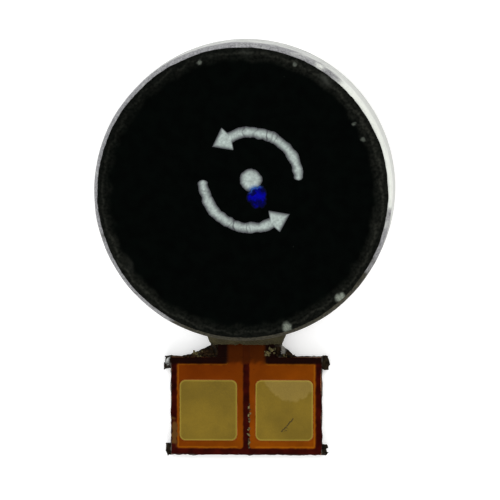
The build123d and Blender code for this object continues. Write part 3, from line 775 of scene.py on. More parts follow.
def case_skin(wall, shoulder, ripple):
    """The cup's section from its bore over the shoulder and down to the rim, and back inside, carried round.

    Below the shoulder each height z becomes rim + (z - foot) (top - rim) / (top - foot), where rim is the
    rim's own height at that angle, so that both walls stretch up to the notch.
    """
    inside, bore = CASE_RADIUS - wall, shaft_high[0]
    outline = rounded_path(
        [(bore, CASE_TOP), (CASE_RADIUS, CASE_TOP), (CASE_RADIUS, CASE_FOOT), (inside, CASE_FOOT),
         (inside, CASE_TOP - wall), (bore, CASE_TOP - wall)],
        [0.03, shoulder, 0.04, 0.03, shoulder - wall, 0.02],
        0.16,
    )
    half = math.asin(bead_high[0] / CASE_RADIUS)
    flank = np.radians(np.linspace(-0.4, 0.4, 9))
    angles = np.unique(np.concatenate([circle(720), 1.5 * math.pi + half + flank,
                                       1.5 * math.pi - half + flank]))
    rows = revolve(outline, angles)
    bend = CASE_TOP - shoulder
    rim = CASE_FOOT + notch_lift(angles)
    height = rows[..., 2]
    stretched = rim + (height - CASE_FOOT) * (bend - rim) / (bend - CASE_FOOT)
    rows[..., 2] = np.where(height < bend, stretched, height)
    outward = xyz(np.cos(angles), np.sin(angles), 0)
    rows += outward * (ripple * unevenness(rows, 2.4, 11) * step_down(-rows[..., 2] + 0.5, 0.4))[..., None]
    # painted light and shade by angle, with real resin: clean and bright at the right where the light falls,
    # duller over the top and left, and dark beside the tail from painted shade and resin
    grime = np.interp(np.degrees(angles) % 360, [0, 20, 42, 54, 75, 120, 150, 200, 235, 252, 300, 322, 338,
                                                 350, 360],
                      [0.04, 0.0, 0.02, 0.34, 0.4, 0.46, 0.5, 0.56, 0.5, 0.95, 1.05, 0.92, 0.5, 0.3, 0.04])
    # the shoulder carries most of it, down to a soft line on the wall
    on_shoulder = step_down(bend - 0.25 + 0.1 * unevenness(rows, 0.8, 13) - rows[..., 2], 0.6)
    grime = (grime + 0.1 * unevenness(rows, 0.8, 12)) * (0.4 + 0.6 * on_shoulder)
    return skin(rows, ring=True, grime=grime, wall=1 - on_shoulder)


def film_skin(shoulder, wrinkle):
    """A disc draped over the cup: at the distance s from the axis along the film, flat up to the shoulder's
    start c, then bent by the angle (s - c) / R round the shoulder. Puckers grow towards its wavy edge.
    """
    start, bend_z = CASE_RADIUS - shoulder, CASE_TOP - shoulder
    thick = FILM_TOP - CASE_TOP
    reach = math.asin((FILM_RADIUS - start) / (shoulder + thick))
    angles = circle(900)
    rim = unevenness(xyz(np.cos(angles), np.sin(angles), 0) * CASE_RADIUS, 1.9, 5)
    rim += 0.5 * unevenness(xyz(np.cos(angles), np.sin(angles), 0) * CASE_RADIUS, 0.5, 6)
    flat = np.concatenate([np.linspace(0.04, start - 0.3, 26), np.linspace(start - 0.25, start, 6)])
    bent = np.linspace(0, 1, 18)[1:]
    along = np.concatenate([flat, start + bent])
    turn = np.clip(along - start, 0, 1)[:, None] * (reach + 0.02 * rim)
    lie = np.minimum(along, start)[:, None]

    def level(radius):
        return np.stack([lie + radius * np.sin(turn), bend_z + radius * np.cos(turn)], -1)

    edge_turn = turn[-1:]
    lip = [
        np.stack([start + (shoulder + thick * h) * np.sin(edge_turn + o),
                  bend_z + (shoulder + thick * h) * np.cos(edge_turn + o)], -1)
        for h, o in ((0.86, 0.02), (0.5, 0.03), (0.14, 0.025))
    ]
    section = np.concatenate([level(shoulder + thick), *lip, level(shoulder)[::-1]])
    rows = xyz(section[..., 0] * np.cos(angles), section[..., 0] * np.sin(angles), section[..., 1])
    count = len(along)
    bentness = np.clip(along - start + 0.12, 0, 1.12)[:, None] / 1.12 + 0 * angles
    upper = rows[:count]
    pucker = unevenness(upper, 0.42, 21) * bentness**0.7 * wrinkle + unevenness(upper, 2.2,
                                                                                22) * 0.25 * wrinkle
    outward = xyz(np.sin(turn) * np.cos(angles), np.sin(turn) * np.sin(angles), np.cos(turn))
    rows[:count] = upper + outward * pucker[..., None]
    worn = np.zeros(rows.shape[:2])
    out = np.hypot(upper[..., 0], upper[..., 1]) + 0.05 * unevenness(upper, 0.9, 23)
    worn[:count] = 0.35 * step_down(start - 0.1 - out,
                                    0.2) + 0.65 * step_down(np.abs(out - start - 0.13) - 0.04, 0.1)
    worn[count : count + 3] = 0.6
    # the shoulder is worn most on the right, the lower left and the bottom
    worn *= np.interp(np.degrees(angles), [0, 60, 95, 150, 175, 210, 235, 260, 330, 360],
                      [1.0, 0.9, 0.6, 0.35, 0.5, 1.0, 0.9, 0.6, 0.8, 1.0])
    scuff = np.zeros(rows.shape[:2])
    for x, y, size, strength in SCUFFS:
        away = np.hypot(upper[..., 0] - x, upper[..., 1] - y)
        ragged = 0.02 * unevenness(upper, 0.3, int(100 * size))
        scuff[:count] += strength * step_down(away - size + ragged, 0.9 * size)
    return skin(rows, shoulder=worn, scuff=np.clip(scuff, 0, 1))


class CoinBuildCase(bpy.types.Operator):
    """Build the steel cup, its weld spots and the printed film"""

    bl_idname = "coin.build_case"
    bl_label = "Case and film"

    def execute(self, context):
        size = context.scene.coin_case
        shell = case_skin(size.wall / MM, size.shoulder / MM, size.ripple / MM)
        piece("case_shell", [shell], "case_steel", "case", sharp=50)
        film = film_skin(size.shoulder / MM, size.wrinkle / MM)
        piece("label_sheet", [film], "label_black", "label_film", sharp=50)
        ring = CASE_RADIUS - size.wall / MM
        reach = weld_high[0] - ring * math.cos(TURN / 8)
        spots = []
        for number in range(4):
            turn = TURN * (number + 0.5) / 4
            centre = (ring * math.cos(turn), ring * math.sin(turn), weld_high[2])
            radii = (reach, reach, (weld_high[2] - weld_low[2]))
            spots.append(lump(centre, radii, 40 + number, 0.1, 20))
        piece("weld_beads", spots, "weld_metal", "weld_spots")
        return {"FINISHED"}


# ---------------------------------------------------------------- print on the film
def arrow_skin(centre, radius, stroke, head, start, sweep, seed):
    """A flat bead of ink along an arc: at the arc length s its half-width w(s) is half the stroke, then steps
    out to half the head and falls straight to nothing at the tip. The head lies along the arc's tangent.
    """
    length = radius * sweep
    s = np.linspace(0, length + ARROW_TIP, 331)
    point = head / 2 * np.clip((length + ARROW_TIP - s) / ARROW_TIP, 0.03, 1)
    share = step_down(length - s, 0.05)
    half = stroke / 2 * (1 - share) + point * share
    half = np.convolve(np.pad(half, 3, mode="edge"), np.full(7, 1 / 7), "valid")
    half *= np.sqrt(np.clip(1 - (1 - np.clip(s / 0.13, 0, 1)) ** 2, 0.01, 1))
    half *= np.sqrt(np.clip(1 - (1 - np.clip((s[-1] - s) / 0.08, 0, 1)) ** 2, 0.01, 1))
    across = np.linspace(-1, 1, 33)
    angle = start + np.minimum(s, length) / radius
    straight = np.maximum(s - length, 0)[:, None]
    line = xyz(np.cos(angle), np.sin(angle), 0) * radius
    left = half * (1 + 0.09 * unevenness(line, 0.5, seed)) + 0.004 * unevenness(line, 0.14, seed + 1)
    right = half * (1 + 0.09 * unevenness(line, 0.5, seed + 2)) + 0.004 * unevenness(line, 0.14, seed + 3)
    left, right = np.maximum(left, 0.008), np.maximum(right, 0.008)
    side = np.where(across > 0, left[:, None], right[:, None]) * across
    side += 0.012 * unevenness(line, 0.9, seed + 4)[:, None]
    depth = (mark_high[2] - mark_low[2])
    crown = depth * (1 - np.abs(across) ** 6) + 0 * side
    x = centre[0] + (radius + side) * np.cos(angle)[:, None] - straight * np.sin(angle)[:, None]
    y = centre[1] + (radius + side) * np.sin(angle)[:, None] + straight * np.cos(angle)[:, None]
    top = xyz(x, y, FILM_TOP + crown + 0.001)
    base = xyz(x[:, ::-8], y[:, ::-8], FILM_TOP - PRINT_SINK)
    margin = (1 - np.abs(across)) * np.minimum(left, right)[:, None]
    cover = step_down(0.075 - margin, INK_SOFT)
    random = np.random.default_rng(seed + 9)
    for place_on, deep in zip(random.uniform(0.1, 0.95, 5) * length, (0.9, 0.4, 0.6, 0.35, 0.5)):
        gap = np.abs(s[:, None] - place_on - random.uniform(-0.5, 0.5) * side
                     + 0.03 * unevenness(top, 0.4, seed + 5))
        cover = cover * (1 - deep * step_down(gap - 0.02, 0.06))
    return skin(np.concatenate([top, base], 1), cover=np.concatenate([cover, np.zeros(base.shape[:2])], 1))


def blot_skin(centre, radius, thick, seed, wander, spot=None):
    """A drop of ink on rings: its rim lies at R (1 + wander x unevenness of the angle), its crown at
    thick (1 - q^4), where q is the share of the way to the rim.
    """
    share = np.concatenate([np.linspace(0.04, 1, 26), [1.0, 0.5, 0.04]])[:, None]
    angles = circle(160)
    ray = xyz(np.cos(angles), np.sin(angles), 0)
    rim = radius * (1 + wander * unevenness(ray, 1.9, seed) + wander * 0.35 * unevenness(ray, 0.5, seed + 1))
    x = centre[0] + share * rim * np.cos(angles)
    y = centre[1] + share * rim * np.sin(angles)
    level = FILM_TOP + thick * (1 - share**4) + 0.001 + 0 * angles
    level[26:] = FILM_TOP - PRINT_SINK
    cover = step_down(0.075 - (1 - share) * rim, INK_SOFT)
    cover[26:] = 0
    over = np.zeros_like(x) if spot is None else step_down(np.hypot(x - spot[0], y - spot[1]) - spot[2], 0.26)
    return skin(xyz(x, y, level), cover=cover, over_white=over)


class CoinBuildPrint(bpy.types.Operator):
    """Build the printed arrows and the marking dot"""

    bl_idname = "coin.build_print"
    bl_label = "Print"

    def execute(self, context):
        size = context.scene.coin_print
        centre = ((mark_low[0] + mark_high[0]) / 2, (mark_low[1] + mark_high[1]) / 2)
        spot = ((dot_low[0] + dot_high[0]) / 2, (dot_low[1] + dot_high[1]) / 2)
        radius, stroke, head = size.radius / MM, size.stroke / MM, size.head / MM
        white = [arrow_skin(centre, radius, stroke, head, half_turn * math.pi, size.sweep,
                            60 + 20 * half_turn)
                 for half_turn in (0, 1)]
        thin = (mark_high[2] - mark_low[2])
        white.append(blot_skin(centre, SPOT_RADIUS, thin, 90, 0.05, (*spot, SPOT_RADIUS)))
        piece("arrow_print", white, "white_ink", "direction_mark")
        dot_radius = (dot_high[0] - dot_low[0]) / 2
        drop = blot_skin(spot, dot_radius, (dot_high[2] - dot_low[2]), 97, 0.13, (*centre, SPOT_RADIUS))
        piece("ink_dot", [drop], "blue_ink", "inspection_dot")
        return {"FINISHED"}


# ---------------------------------------------------------------- flexible circuit
def copper_distance(x, y):
    """Distance to the nearer conductor under the cover film: tail area, neck strip and arc round the hub."""
    side = np.abs(x)
    inner = copper_low[0]
    tail = box_distance(side, y, (inner, copper_high[0]), (copper_low[1], COPPER_START), 0.08)
    neck = box_distance(side, y, (inner, inner + NECK_COPPER), (COPPER_START - 0.16, -ARC_RADIUS))
    share = np.clip(0.5 + (neck - tail) / 0.24, 0, 1)
    tail = np.maximum(neck * (1 - share) + tail * share - 0.12 * share * (1 - share), inner - side)
    arc = np.maximum(np.abs(np.hypot(x, y) - ARC_RADIUS) - ARC_HALF, np.maximum(inner - side, y - 0.8))
    return np.minimum(tail, arc)


def window_distance(x, y):
    """Distance to the cover film's nearest window, over a contact or a brush's land."""
    side = np.abs(x)
    pad = box_distance(side, y, (pad_low[0] - 0.02, pad_high[0] + 0.02),
                       (pad_low[1] - 0.02, pad_high[1] + 0.02), 0.22)
    land_low, land_high = corners("brush_base_right")
    land = box_distance(side, y, (land_low[0] - 0.06, land_high[0] + 0.06),
                        (land_low[1] - 0.06, land_high[1] + 0.06), 0.1)
    return np.minimum(pad, land)


def cover_height(x, y):
    """Top of the cover film: high over copper, lower beside it, and under the plating in the windows."""
    emboss = step_down(copper_distance(x, y) - 0.01, 0.07)
    grain = 0.0022 * unevenness(xyz(x, y, 0), 0.5, 31)
    height = COVER_TOP - 0.022 * (1 - emboss) + grain
    sunk = step_down(window_distance(x, y), 0.03)
    return height * (1 - sunk) + (COPPER_TOP - 0.003) * sunk


def circuit_marks(x, y):
    """Masks for colour: over copper, a painted highlight along the copper's edges, painted shade over the
    neck, and sooty near the sheared top edge.
    """
    flat = xyz(x, y, 0)
    away = copper_distance(x, y) + 0.006 * unevenness(flat, 0.35, 33)
    # a painted highlight line along the copper's edges
    line = step_down(np.abs(away + 0.045) - 0.012, 0.04)
    lip = step_down(COPPER_START - 0.03 - y, 0.1) * step_down(0.62 - np.abs(x), 0.15)
    neck = step_down(COPPER_START + 0.02 - y + 0.05 * unevenness(flat, 0.4, 34), 0.22)
    return {
        "over_copper": np.maximum(step_down(away, 0.05), 0.75 * neck * step_down(np.abs(x) - 0.2, 0.1)),
        "edge_line": line * (1 - neck) * step_down(0.3 - np.abs(x), 0.1),
        "soot": np.clip(lip, 0, 1),
        "shaded": neck,
        "stain": step_down(np.hypot((x - STAIN_AT[0]) / 0.1, (y - STAIN_AT[1]) / 0.42) - 1
                           + 0.3 * unevenness(flat, 0.3, 58), 0.6),
    }


def tail_skin():
    """The tail and neck: at each y a flat loop from edge to edge, x = u W(y), with W the half-width there.

    W steps from the neck to the tail through a small fillet, and both edges wander.
    """
    y = np.concatenate([
        np.linspace(-4.35, -4.9, 12), np.linspace(-4.95, TAIL_START + 0.12, 32),
        TAIL_START + 0.1 * (1 - np.sin(np.linspace(0, math.pi / 2, 9))) ** 1.5,
        np.linspace(TAIL_START - 0.006, TAIL_END, 165),
    ])
    fillet = 0.1 - np.sqrt(np.clip(0.1**2 - np.clip(0.1 - (y - TAIL_START), 0, 0.1) ** 2, 0, None))
    half = np.where(y < TAIL_START, TAIL_HALF, NECK_HALF + np.where(y < TAIL_START + 0.1, fillet, 0))
    end = np.clip((y - TAIL_END) / 0.06, 0, 1)
    half = half - 0.06 * (1 - np.sqrt(1 - (1 - end) ** 2))
    edge = xyz(0, y, 0)
    left = half + 0.014 * unevenness(edge, 0.9, 35) + 0.006 * unevenness(edge, 0.2, 36)
    right = half + 0.014 * unevenness(edge + 5, 0.9, 37) + 0.006 * unevenness(edge, 0.2, 38)
    u = np.linspace(-1, 1, 237)
    x = np.where(u > 0, right[:, None], left[:, None]) * u
    full_y = y[:, None] + 0 * x
    full_y[-1] += 0.01 * unevenness(xyz(x[-1], 0, 0), 0.6, 39)
    top = xyz(x, full_y, cover_height(x, full_y))
    lip = 0.008
    sides = np.stack([x[:, [-1, -1]] + lip * np.array([1, 1]), full_y[:, [-1, -1]],
                      np.broadcast_to([COPPER_TOP, COVER_FOOT + 0.004], (len(y), 2))], -1)
    under_x = x[:, ::-12]
    under = xyz(under_x, full_y[:, :1], COVER_FOOT)
    other = np.stack([x[:, [0, 0]] - lip * np.array([1, 1]), full_y[:, [0, 0]],
                      np.broadcast_to([COVER_FOOT + 0.004, COPPER_TOP], (len(y), 2))], -1)
    rows = np.concatenate([top, sides, under, other], 1)
    return skin(rows, **circuit_marks(rows[..., 0], rows[..., 1]))


def inner_disc_skin():
    """The part of the cover film inside the cup: a washer on rings, its top following the cover's height."""
    radius = np.concatenate([np.linspace(DISC_HOLE, DISC_RIM, 90), [DISC_RIM, 3.0, 1.8, DISC_HOLE]])[:, None]
    angles = circle(240)
    x, y = radius * np.cos(angles), radius * np.sin(angles)
    z = cover_height(x, y)
    z[90:] = COVER_FOOT
    return skin(xyz(x, y, z), ring=True, **circuit_marks(x, y))


def pad_skin(node, side):
    """A contact: at each y a flat loop x = u W(y), where W falls along a quarter circle near both ends.

    The crown rises a little to a rim and then eases down at the edge; a scratch is pressed into one contact.
    """
    low, high = corners(node)
    middle_x, middle_y = (low[0] + high[0]) / 2, (low[1] + high[1]) / 2
    half_x, half_y, corner = (high[0] - low[0]) / 2, (high[1] - low[1]) / 2, PAD_CORNER
    bend = np.linspace(0, math.pi / 2, 12)[:-1]
    y = np.concatenate([-half_y + corner * (1 - np.cos(bend)),
                        np.linspace(-half_y + corner, half_y - corner, 100),
                        (half_y - corner * (1 - np.cos(bend)))[::-1]])
    over = np.clip(np.abs(y) - (half_y - corner), 0, corner)
    half = half_x - corner + np.sqrt(corner**2 - over**2)
    u = np.linspace(-1, 1, 111)
    x = half[:, None] * u
    full_y = y[:, None] + 0 * x
    inward = -box_distance(x, full_y, (-half_x, half_x), (-half_y, half_y), corner)
    rim = step_down(np.abs(inward - 0.03) - 0.01, 0.04)
    scratch = np.zeros_like(x)
    rubbed, hatched = np.zeros_like(x), np.zeros_like(x)
    plane = xyz(x, full_y, 0)
    if side > 0:
        away = np.minimum(segment_distance(x, full_y, (0.31, -0.27), (-0.09, -0.72)),
                          segment_distance(x, full_y, (-0.07, -0.72), (0.08, -0.67)) + 0.012)
        away = np.minimum(away, segment_distance(x, full_y, (0.02, -0.56), (0.1, -0.6)) + 0.016)
        scratch = step_down(away - 0.018 + 0.012 * unevenness(plane, 0.1, 44), 0.03)
        # painted highlight: a sheen over the upper right of the right-hand contact, bounded by a curve
        border = 0.3 + 0.75 * (x - 0.25) ** 2 + 0.03 * unevenness(plane, 0.3, 45)
        rubbed = step_down(border - full_y, 0.1) * step_down(-0.7 - x, 0.3)
    else:
        hatched = step_down(0.45 - full_y, 0.25) * step_down(-0.35 - x, 0.4) * 0.9
    z = high[2] - 0.006 * step_down(inward - 0.01, 0.03) + 0.0012 * unevenness(plane, 0.6,
                                                                               46) - 0.006 * scratch
    top = xyz(x + middle_x, full_y + middle_y, z)
    base = xyz(x[:, ::-10] + middle_x, full_y[:, ::-10] + middle_y, low[2] - 0.006)

    def whole(values):
        return np.concatenate([values, np.zeros(base.shape[:2])], 1)

    return skin(np.concatenate([top, base], 1), rim=whole(rim), scratch=whole(scratch), rubbed=whole(rubbed),
                hatched=whole(hatched))


class CoinBuildCircuit(bpy.types.Operator):
    """Build the cover film and the two contacts, and finish the layers under them"""

    bl_idname = "coin.build_circuit"
    bl_label = "Flexible circuit"

    def execute(self, context):
        piece("cover_film", [tail_skin(), inner_disc_skin()], "polyimide", "fpc_coverlay", sharp=60)
        for name, side in (("left", -1), ("right", 1)):
            node = f"terminal_pad_{name}"
            piece(f"contact_{name}", [pad_skin(node, side)], "gold_plating", node, sharp=50)
            dress(f"copper_trace_{name}", "copper")
        dress("fpc_base_film", "base_film")
        dress("fpc_bond_sheet", "bond_adhesive")
        return {"FINISHED"}


# ---------------------------------------------------------------- base plate, tape and sealant
def plate_mesh():
    """The base plate's own shape, cut finely along the tongue, its sheared edges roughened.

    A side point of an ear moves along its plane by unevenness x reach, and the ear's faces also lift and
    sink; the shoulders' sides move less, and nothing under the film moves at all.
    """
    copy = merged_copy("bracket")
    end = plate_low[1]
    along = np.concatenate([np.arange(-4.86, -6.1, -0.045), np.arange(-6.2, end + 0.5, -0.2),
                            np.arange(end + 0.45, end, -0.045)])
    for axis, cuts in ((1, along), (0, np.arange(-2.7, 2.71, 0.07))):
        for cut in cuts:
            near = [f for f in copy.faces
                    if f.calc_center_median().y < -4.8 * MM or axis == 1 and cut > -4.95]
            edges, verts = {e for f in near for e in f.edges}, {v for f in near for v in f.verts}
            geometry = near + list(edges) + list(verts)
            normal = (0, 1, 0) if axis == 1 else (1, 0, 0)
            at = (0, cut * MM, 0) if axis == 1 else (cut * MM, 0, 0)
            bmesh.ops.bisect_plane(copy, geom=geometry, dist=1e-8, plane_co=at, plane_no=normal)
    bmesh.ops.triangulate(copy, faces=[f for f in copy.faces if len(f.verts) > 4])
    mesh = bpy.data.meshes.new("base_plate")
    copy.to_mesh(mesh)
    copy.free()
    points = np.empty(len(mesh.vertices) * 3, np.float32)
    mesh.vertices.foreach_get("co", points)
    points = points.reshape(-1, 3).astype(float) / MM
    x, y, z = points.T
    ear = step_down(PLATE_HALF + 0.02 - np.abs(x), 0.06) * step_down(y + 5.0, 0.1)
    tongue = step_down(y + 5.02, 0.1)
    rim = (step_down(TAIL_HALF - np.abs(x), 0.02) + step_down(TAIL_START - y, 0.02)
           + step_down(y - TAIL_END, 0.02))
    open_edge = np.clip(rim, 0, 1) * tongue
    sway = np.stack([unevenness(points, 0.3, s) + 0.3 * unevenness(points, 0.1, s + 5) for s in (51, 52, 53)],
                    -1)
    points[:, :2] += sway[:, :2] * (0.034 * ear + 0.012 * open_edge)[:, None]
    points[:, 2] += sway[:, 2] * 0.04 * ear
    mesh.vertices.foreach_set("co", (points * MM).astype(np.float32).ravel())
    flux = np.clip(open_edge * step_down(0.24 - z, 0.06) * (0.9 + 0.3 * unevenness(points, 0.3, 54))
                   + 0.9 * ear, 0, 1)
    pile = step_down(box_distance(np.abs(x), y, (0.9, 2.1), (PLATE_START - 0.05, -5.25)), 0.05)
    flux = np.maximum(flux, 0.95 * pile)
    leg = step_down(box_distance(x, y, LEG_X, LEG_Y), 0.04)
    # painted highlight on one ear
    glint = step_down(np.hypot((x - GLINT_AT[0]) / 0.05, (y - GLINT_AT[1]) / 0.12) - 1,
                      0.5) * step_down(0.24 - z, 0.06)
    set_mark(mesh, "flux", flux * (1 - 0.85 * leg) * (1 - glint))
    set_mark(mesh, "glint", glint)
    mesh.update()
    return mesh


def bead_skin():
    """The sealing bead: at each x a section from the wall over a quarter ellipse down to the film and back.

    Its reach and height fall to nothing at both ends, and its surface is lumpy.
    """
    half = 1.45
    x = np.linspace(-half, half, 121)
    wall = -np.sqrt(CASE_RADIUS**2 - x**2) + 0.015
    taper = step_down(np.abs(x) - 1.3, 0.3)
    reach = np.maximum(-bead_low[1] * taper + (-wall + 0.01) * (1 - taper), -wall + 0.008)
    height = (bead_high[2] - COVER_TOP) * (0.35 + 0.65 * step_down(np.abs(x) - 1.1, 0.7))
    foot = np.where(np.abs(x) > 0.97, PLATE_TOP + 0.005, COVER_TOP - 0.004)
    foot = np.where(np.abs(x) > 1.2, COVER_TOP, foot)
    phase = np.linspace(0, math.pi / 2, 26)
    y = wall[:, None] + (-reach - wall)[:, None] * np.sin(phase) ** 1.1
    z = COVER_TOP + height[:, None] * np.cos(phase) ** 0.9
    outer = xyz(x[:, None], y, z)
    lumps = unevenness(outer, 0.5, 71) + 0.6 * unevenness(outer, 0.16, 72)
    outer[..., 1] -= 0.018 * lumps * np.sin(phase)
    outer[..., 2] += 0.02 * lumps
    inner = np.where(np.abs(x) < 1.22, wall + 0.3, wall + 0.02)
    shut = np.stack([
        xyz(x, -reach + 0.01, foot), xyz(x, inner, foot),
        xyz(x, inner, COVER_TOP + 0.07), xyz(x, wall + 0.02, COVER_TOP + 0.07),
    ], 1)
    return skin(np.concatenate([outer, shut], 1))


def crumb_skins(count):
    """Flakes of pale resin: a string along the tail's gap and small heaps on the tongue's shoulders."""
    random = np.random.default_rng(81)
    found = []
    for number in range(count):
        y = random.uniform(TAIL_END + 0.24, TAIL_END + 1.7)
        centre = (0.1 + random.normal(0, 0.025), y, COVER_TOP - 0.008)
        size = random.uniform(0.014, 0.034)
        found.append(lump(centre, (size, size * random.uniform(0.8, 1.5), size * 0.5), 300 + number, 0.35, 8))
    for x, y, z, heap, spread in HEAPS:
        for number in range(heap):
            centre = (x + random.normal(0, spread), y + random.normal(0, spread * 0.5), z)
            size = random.uniform(0.02, 0.042)
            found.append(lump(centre, (size, size, size * 0.7), 400 + len(found) + number, 0.35, 10))
    return found


def flux_and_shadow_pebbles():
    """Brown-black flux round the neck: overlapping pebbles scattered over the tongue's shoulders, and dark
    pebbles sunk in the relief slot as painted shadow.
    """
    random = np.random.default_rng(91)
    found = []
    for side, outer, count in ((-1, 2.12, 90), (1, 1.66, 46)):
        for number in range(count):
            x = random.uniform(0.93, outer)
            slope = -5.34 + (PLATE_START + 5.3) * np.clip((x - 1.1) / (outer - 1.1), 0, 1)
            size = random.uniform(0.03, 0.06)
            y = PLATE_START - 0.01 + random.uniform(0, 1) * (slope - PLATE_START)
            if side > 0 and 0.93 < x < 1.36 and y > -5.64:
                continue
            centre = (side * x, y, PLATE_TOP + 0.01 + random.uniform(0, 0.04))
            found.append(lump(centre, (size, size * 0.9, size * 0.6), 600 + number * 3 + side, 0.3, 9))
    # painted shadow: dark pebbles sunk in the relief slot stand for the shade inside it
    for number in range(5):
        centre = (1.07, -5.64 + 0.065 * number, PLATE_TOP - 0.12 + 0.01 * number)
        found.append(lump(centre, (0.1, 0.06, 0.05), 900 + number, 0.15, 9))
    return found


class CoinBuildPlate(bpy.types.Operator):
    """Build the base plate, the tape under it and the resin where the tail comes out"""

    bl_idname = "coin.build_plate"
    bl_label = "Base plate"

    def execute(self, context):
        place("base_plate", plate_mesh(), "bracket_steel", ("bracket",), sharp=40)
        edge, foot, top = tape_high[0], tape_low[2], tape_high[2]
        tape = turned([(0.03, foot), (edge, foot), (edge, top), (0.03, top)], 0.025, 0.25, 480, True)
        piece("tape_disc", [tape], "adhesive_tape", "mounting_tape")
        piece("seal_bead", [bead_skin()], "sealant", "exit_sealant", sharp=60)
        piece("resin_crumbs", crumb_skins(context.scene.coin_tail.crumbs), "sealant", look="crumb")
        piece("flux_and_slot_shadow", flux_and_shadow_pebbles(), "bond_adhesive", look="flux")
        return {"FINISHED"}


# ---------------------------------------------------------------- inside
def band_skin(inner, outer, start, sweep, foot, top, easing, columns):
    """A block bent round the axis: a rounded rectangle of (r, z) carried over an arc of angles.

    Near both ends the section shrinks towards its middle along a quarter circle, so the end edges are eased.
    """
    section = rounded_path([(inner, foot), (outer, foot), (outer, top), (inner, top)], easing, 0.12)
    middle = np.array([(inner + outer) / 2, (foot + top) / 2])
    ease = np.linspace(0, math.pi / 2, 5)
    trim = easing / middle[0]
    lead = trim * (1 - np.cos(ease))
    angles = np.concatenate([start + lead, np.linspace(start + trim, start + sweep - trim, columns)[1:-1],
                             (start + sweep - lead)[::-1]])
    shrink = np.zeros(len(angles))
    shrink[:5] = easing * (1 - np.sin(ease))
    shrink[-5:] = shrink[:5][::-1]
    half = np.array([(outer - inner) / 2, (top - foot) / 2])
    scale = 1 - shrink[:, None, None] / half
    flat = middle + (section - middle) * scale
    spoke = angles[:, None]
    return skin(xyz(flat[..., 0] * np.cos(spoke), flat[..., 0] * np.sin(spoke), flat[..., 1]))


def coil_skin(side, winding=0.62, radial=2.0, across=2.3, corner=0.8, ring=3.3, lean=math.radians(71)):
    """A wound coil: a rounded section carried along a rounded rectangle, with ridges where the turns lie.

    The ridges are height x |cos| of the place round the section, one for each turn of wire.
    """
    low, high = corners("coil_left")
    foot, top = low[2], high[2]
    inset = winding / 2
    hx, hy = radial / 2 - inset, across / 2 - inset
    path = rounded_path([(-hx, -hy), (hx, -hy), (hx, hy), (-hx, hy)], corner - inset, 0.06)
    run = np.roll(path, -1, 0) - np.roll(path, 1, 0)
    run /= np.linalg.norm(run, axis=1, keepdims=True)
    out = np.stack([run[:, 1], -run[:, 0]], -1)
    section = rounded_path([(-inset, foot), (inset, foot), (inset, top), (-inset, top)], 0.08, 0.016)
    middle = np.array([0, (foot + top) / 2])
    around = np.arange(len(section)) / len(section)
    ridge = 0.012 * (np.abs(np.cos(around * math.pi * 38)) - 1)
    spoke = section - middle
    flat = section + spoke / np.linalg.norm(spoke, axis=1, keepdims=True) * ridge[:, None]
    x = path[:, 0, None] + out[:, 0, None] * flat[:, 0]
    y = path[:, 1, None] + out[:, 1, None] * flat[:, 0]
    turn = math.pi / 2 - side * lean
    x = x + ring
    placed = np.stack([x * math.cos(turn) - y * math.sin(turn), x * math.sin(turn) + y * math.cos(turn),
                       flat[:, 1] + 0 * x], -1)
    return skin(placed, ring=True)


class CoinBuildStator(bpy.types.Operator):
    """Build the shaft, magnet and washers and finish the brushes"""

    bl_idname = "coin.build_stator"
    bl_label = "Shaft, magnet and brushes"

    def execute(self, context):
        pin, foot, top = shaft_high[0], shaft_low[2], shaft_high[2]
        shaft = turned([(0.02, foot), (pin, foot), (pin, top), (0.02, top)], 0.04, 0.2, 160, True)
        piece("pin", [shaft], "shaft_steel", "shaft")
        outer, bore = magnet_high[0], MAGNET_BORE
        low, high = magnet_low[2], magnet_high[2]
        ring = turned([(bore, low), (outer, low), (outer, high), (bore, high)], 0.05, 0.2, 480)
        piece("magnet_ring", [ring], "magnet_plating", "ring_magnet")
        for name in ("lower", "upper"):
            node = f"{name}_thrust_washer"
            low, high = corners(node)
            hole, rim, ease = shaft_high[0] + 0.02, high[0], 0.015
            disc = turned([(hole, low[2]), (rim, low[2]), (rim, high[2]), (hole, high[2])], ease, 0.1, 160)
            piece(f"{name}_washer_disc", [disc], "washer_film", node, body=f"{name}_washer")
        for name in ("left", "right"):
            eased_node(f"brush_foot_{name}", f"brush_base_{name}", "motor_base", "brush_alloy", 0.008)
            eased_node(f"brush_spring_{name}", f"brush_arm_{name}", f"brush_{name}", "brush_alloy", 0.006)
        dress("brush_solder", "solder")
        return {"FINISHED"}


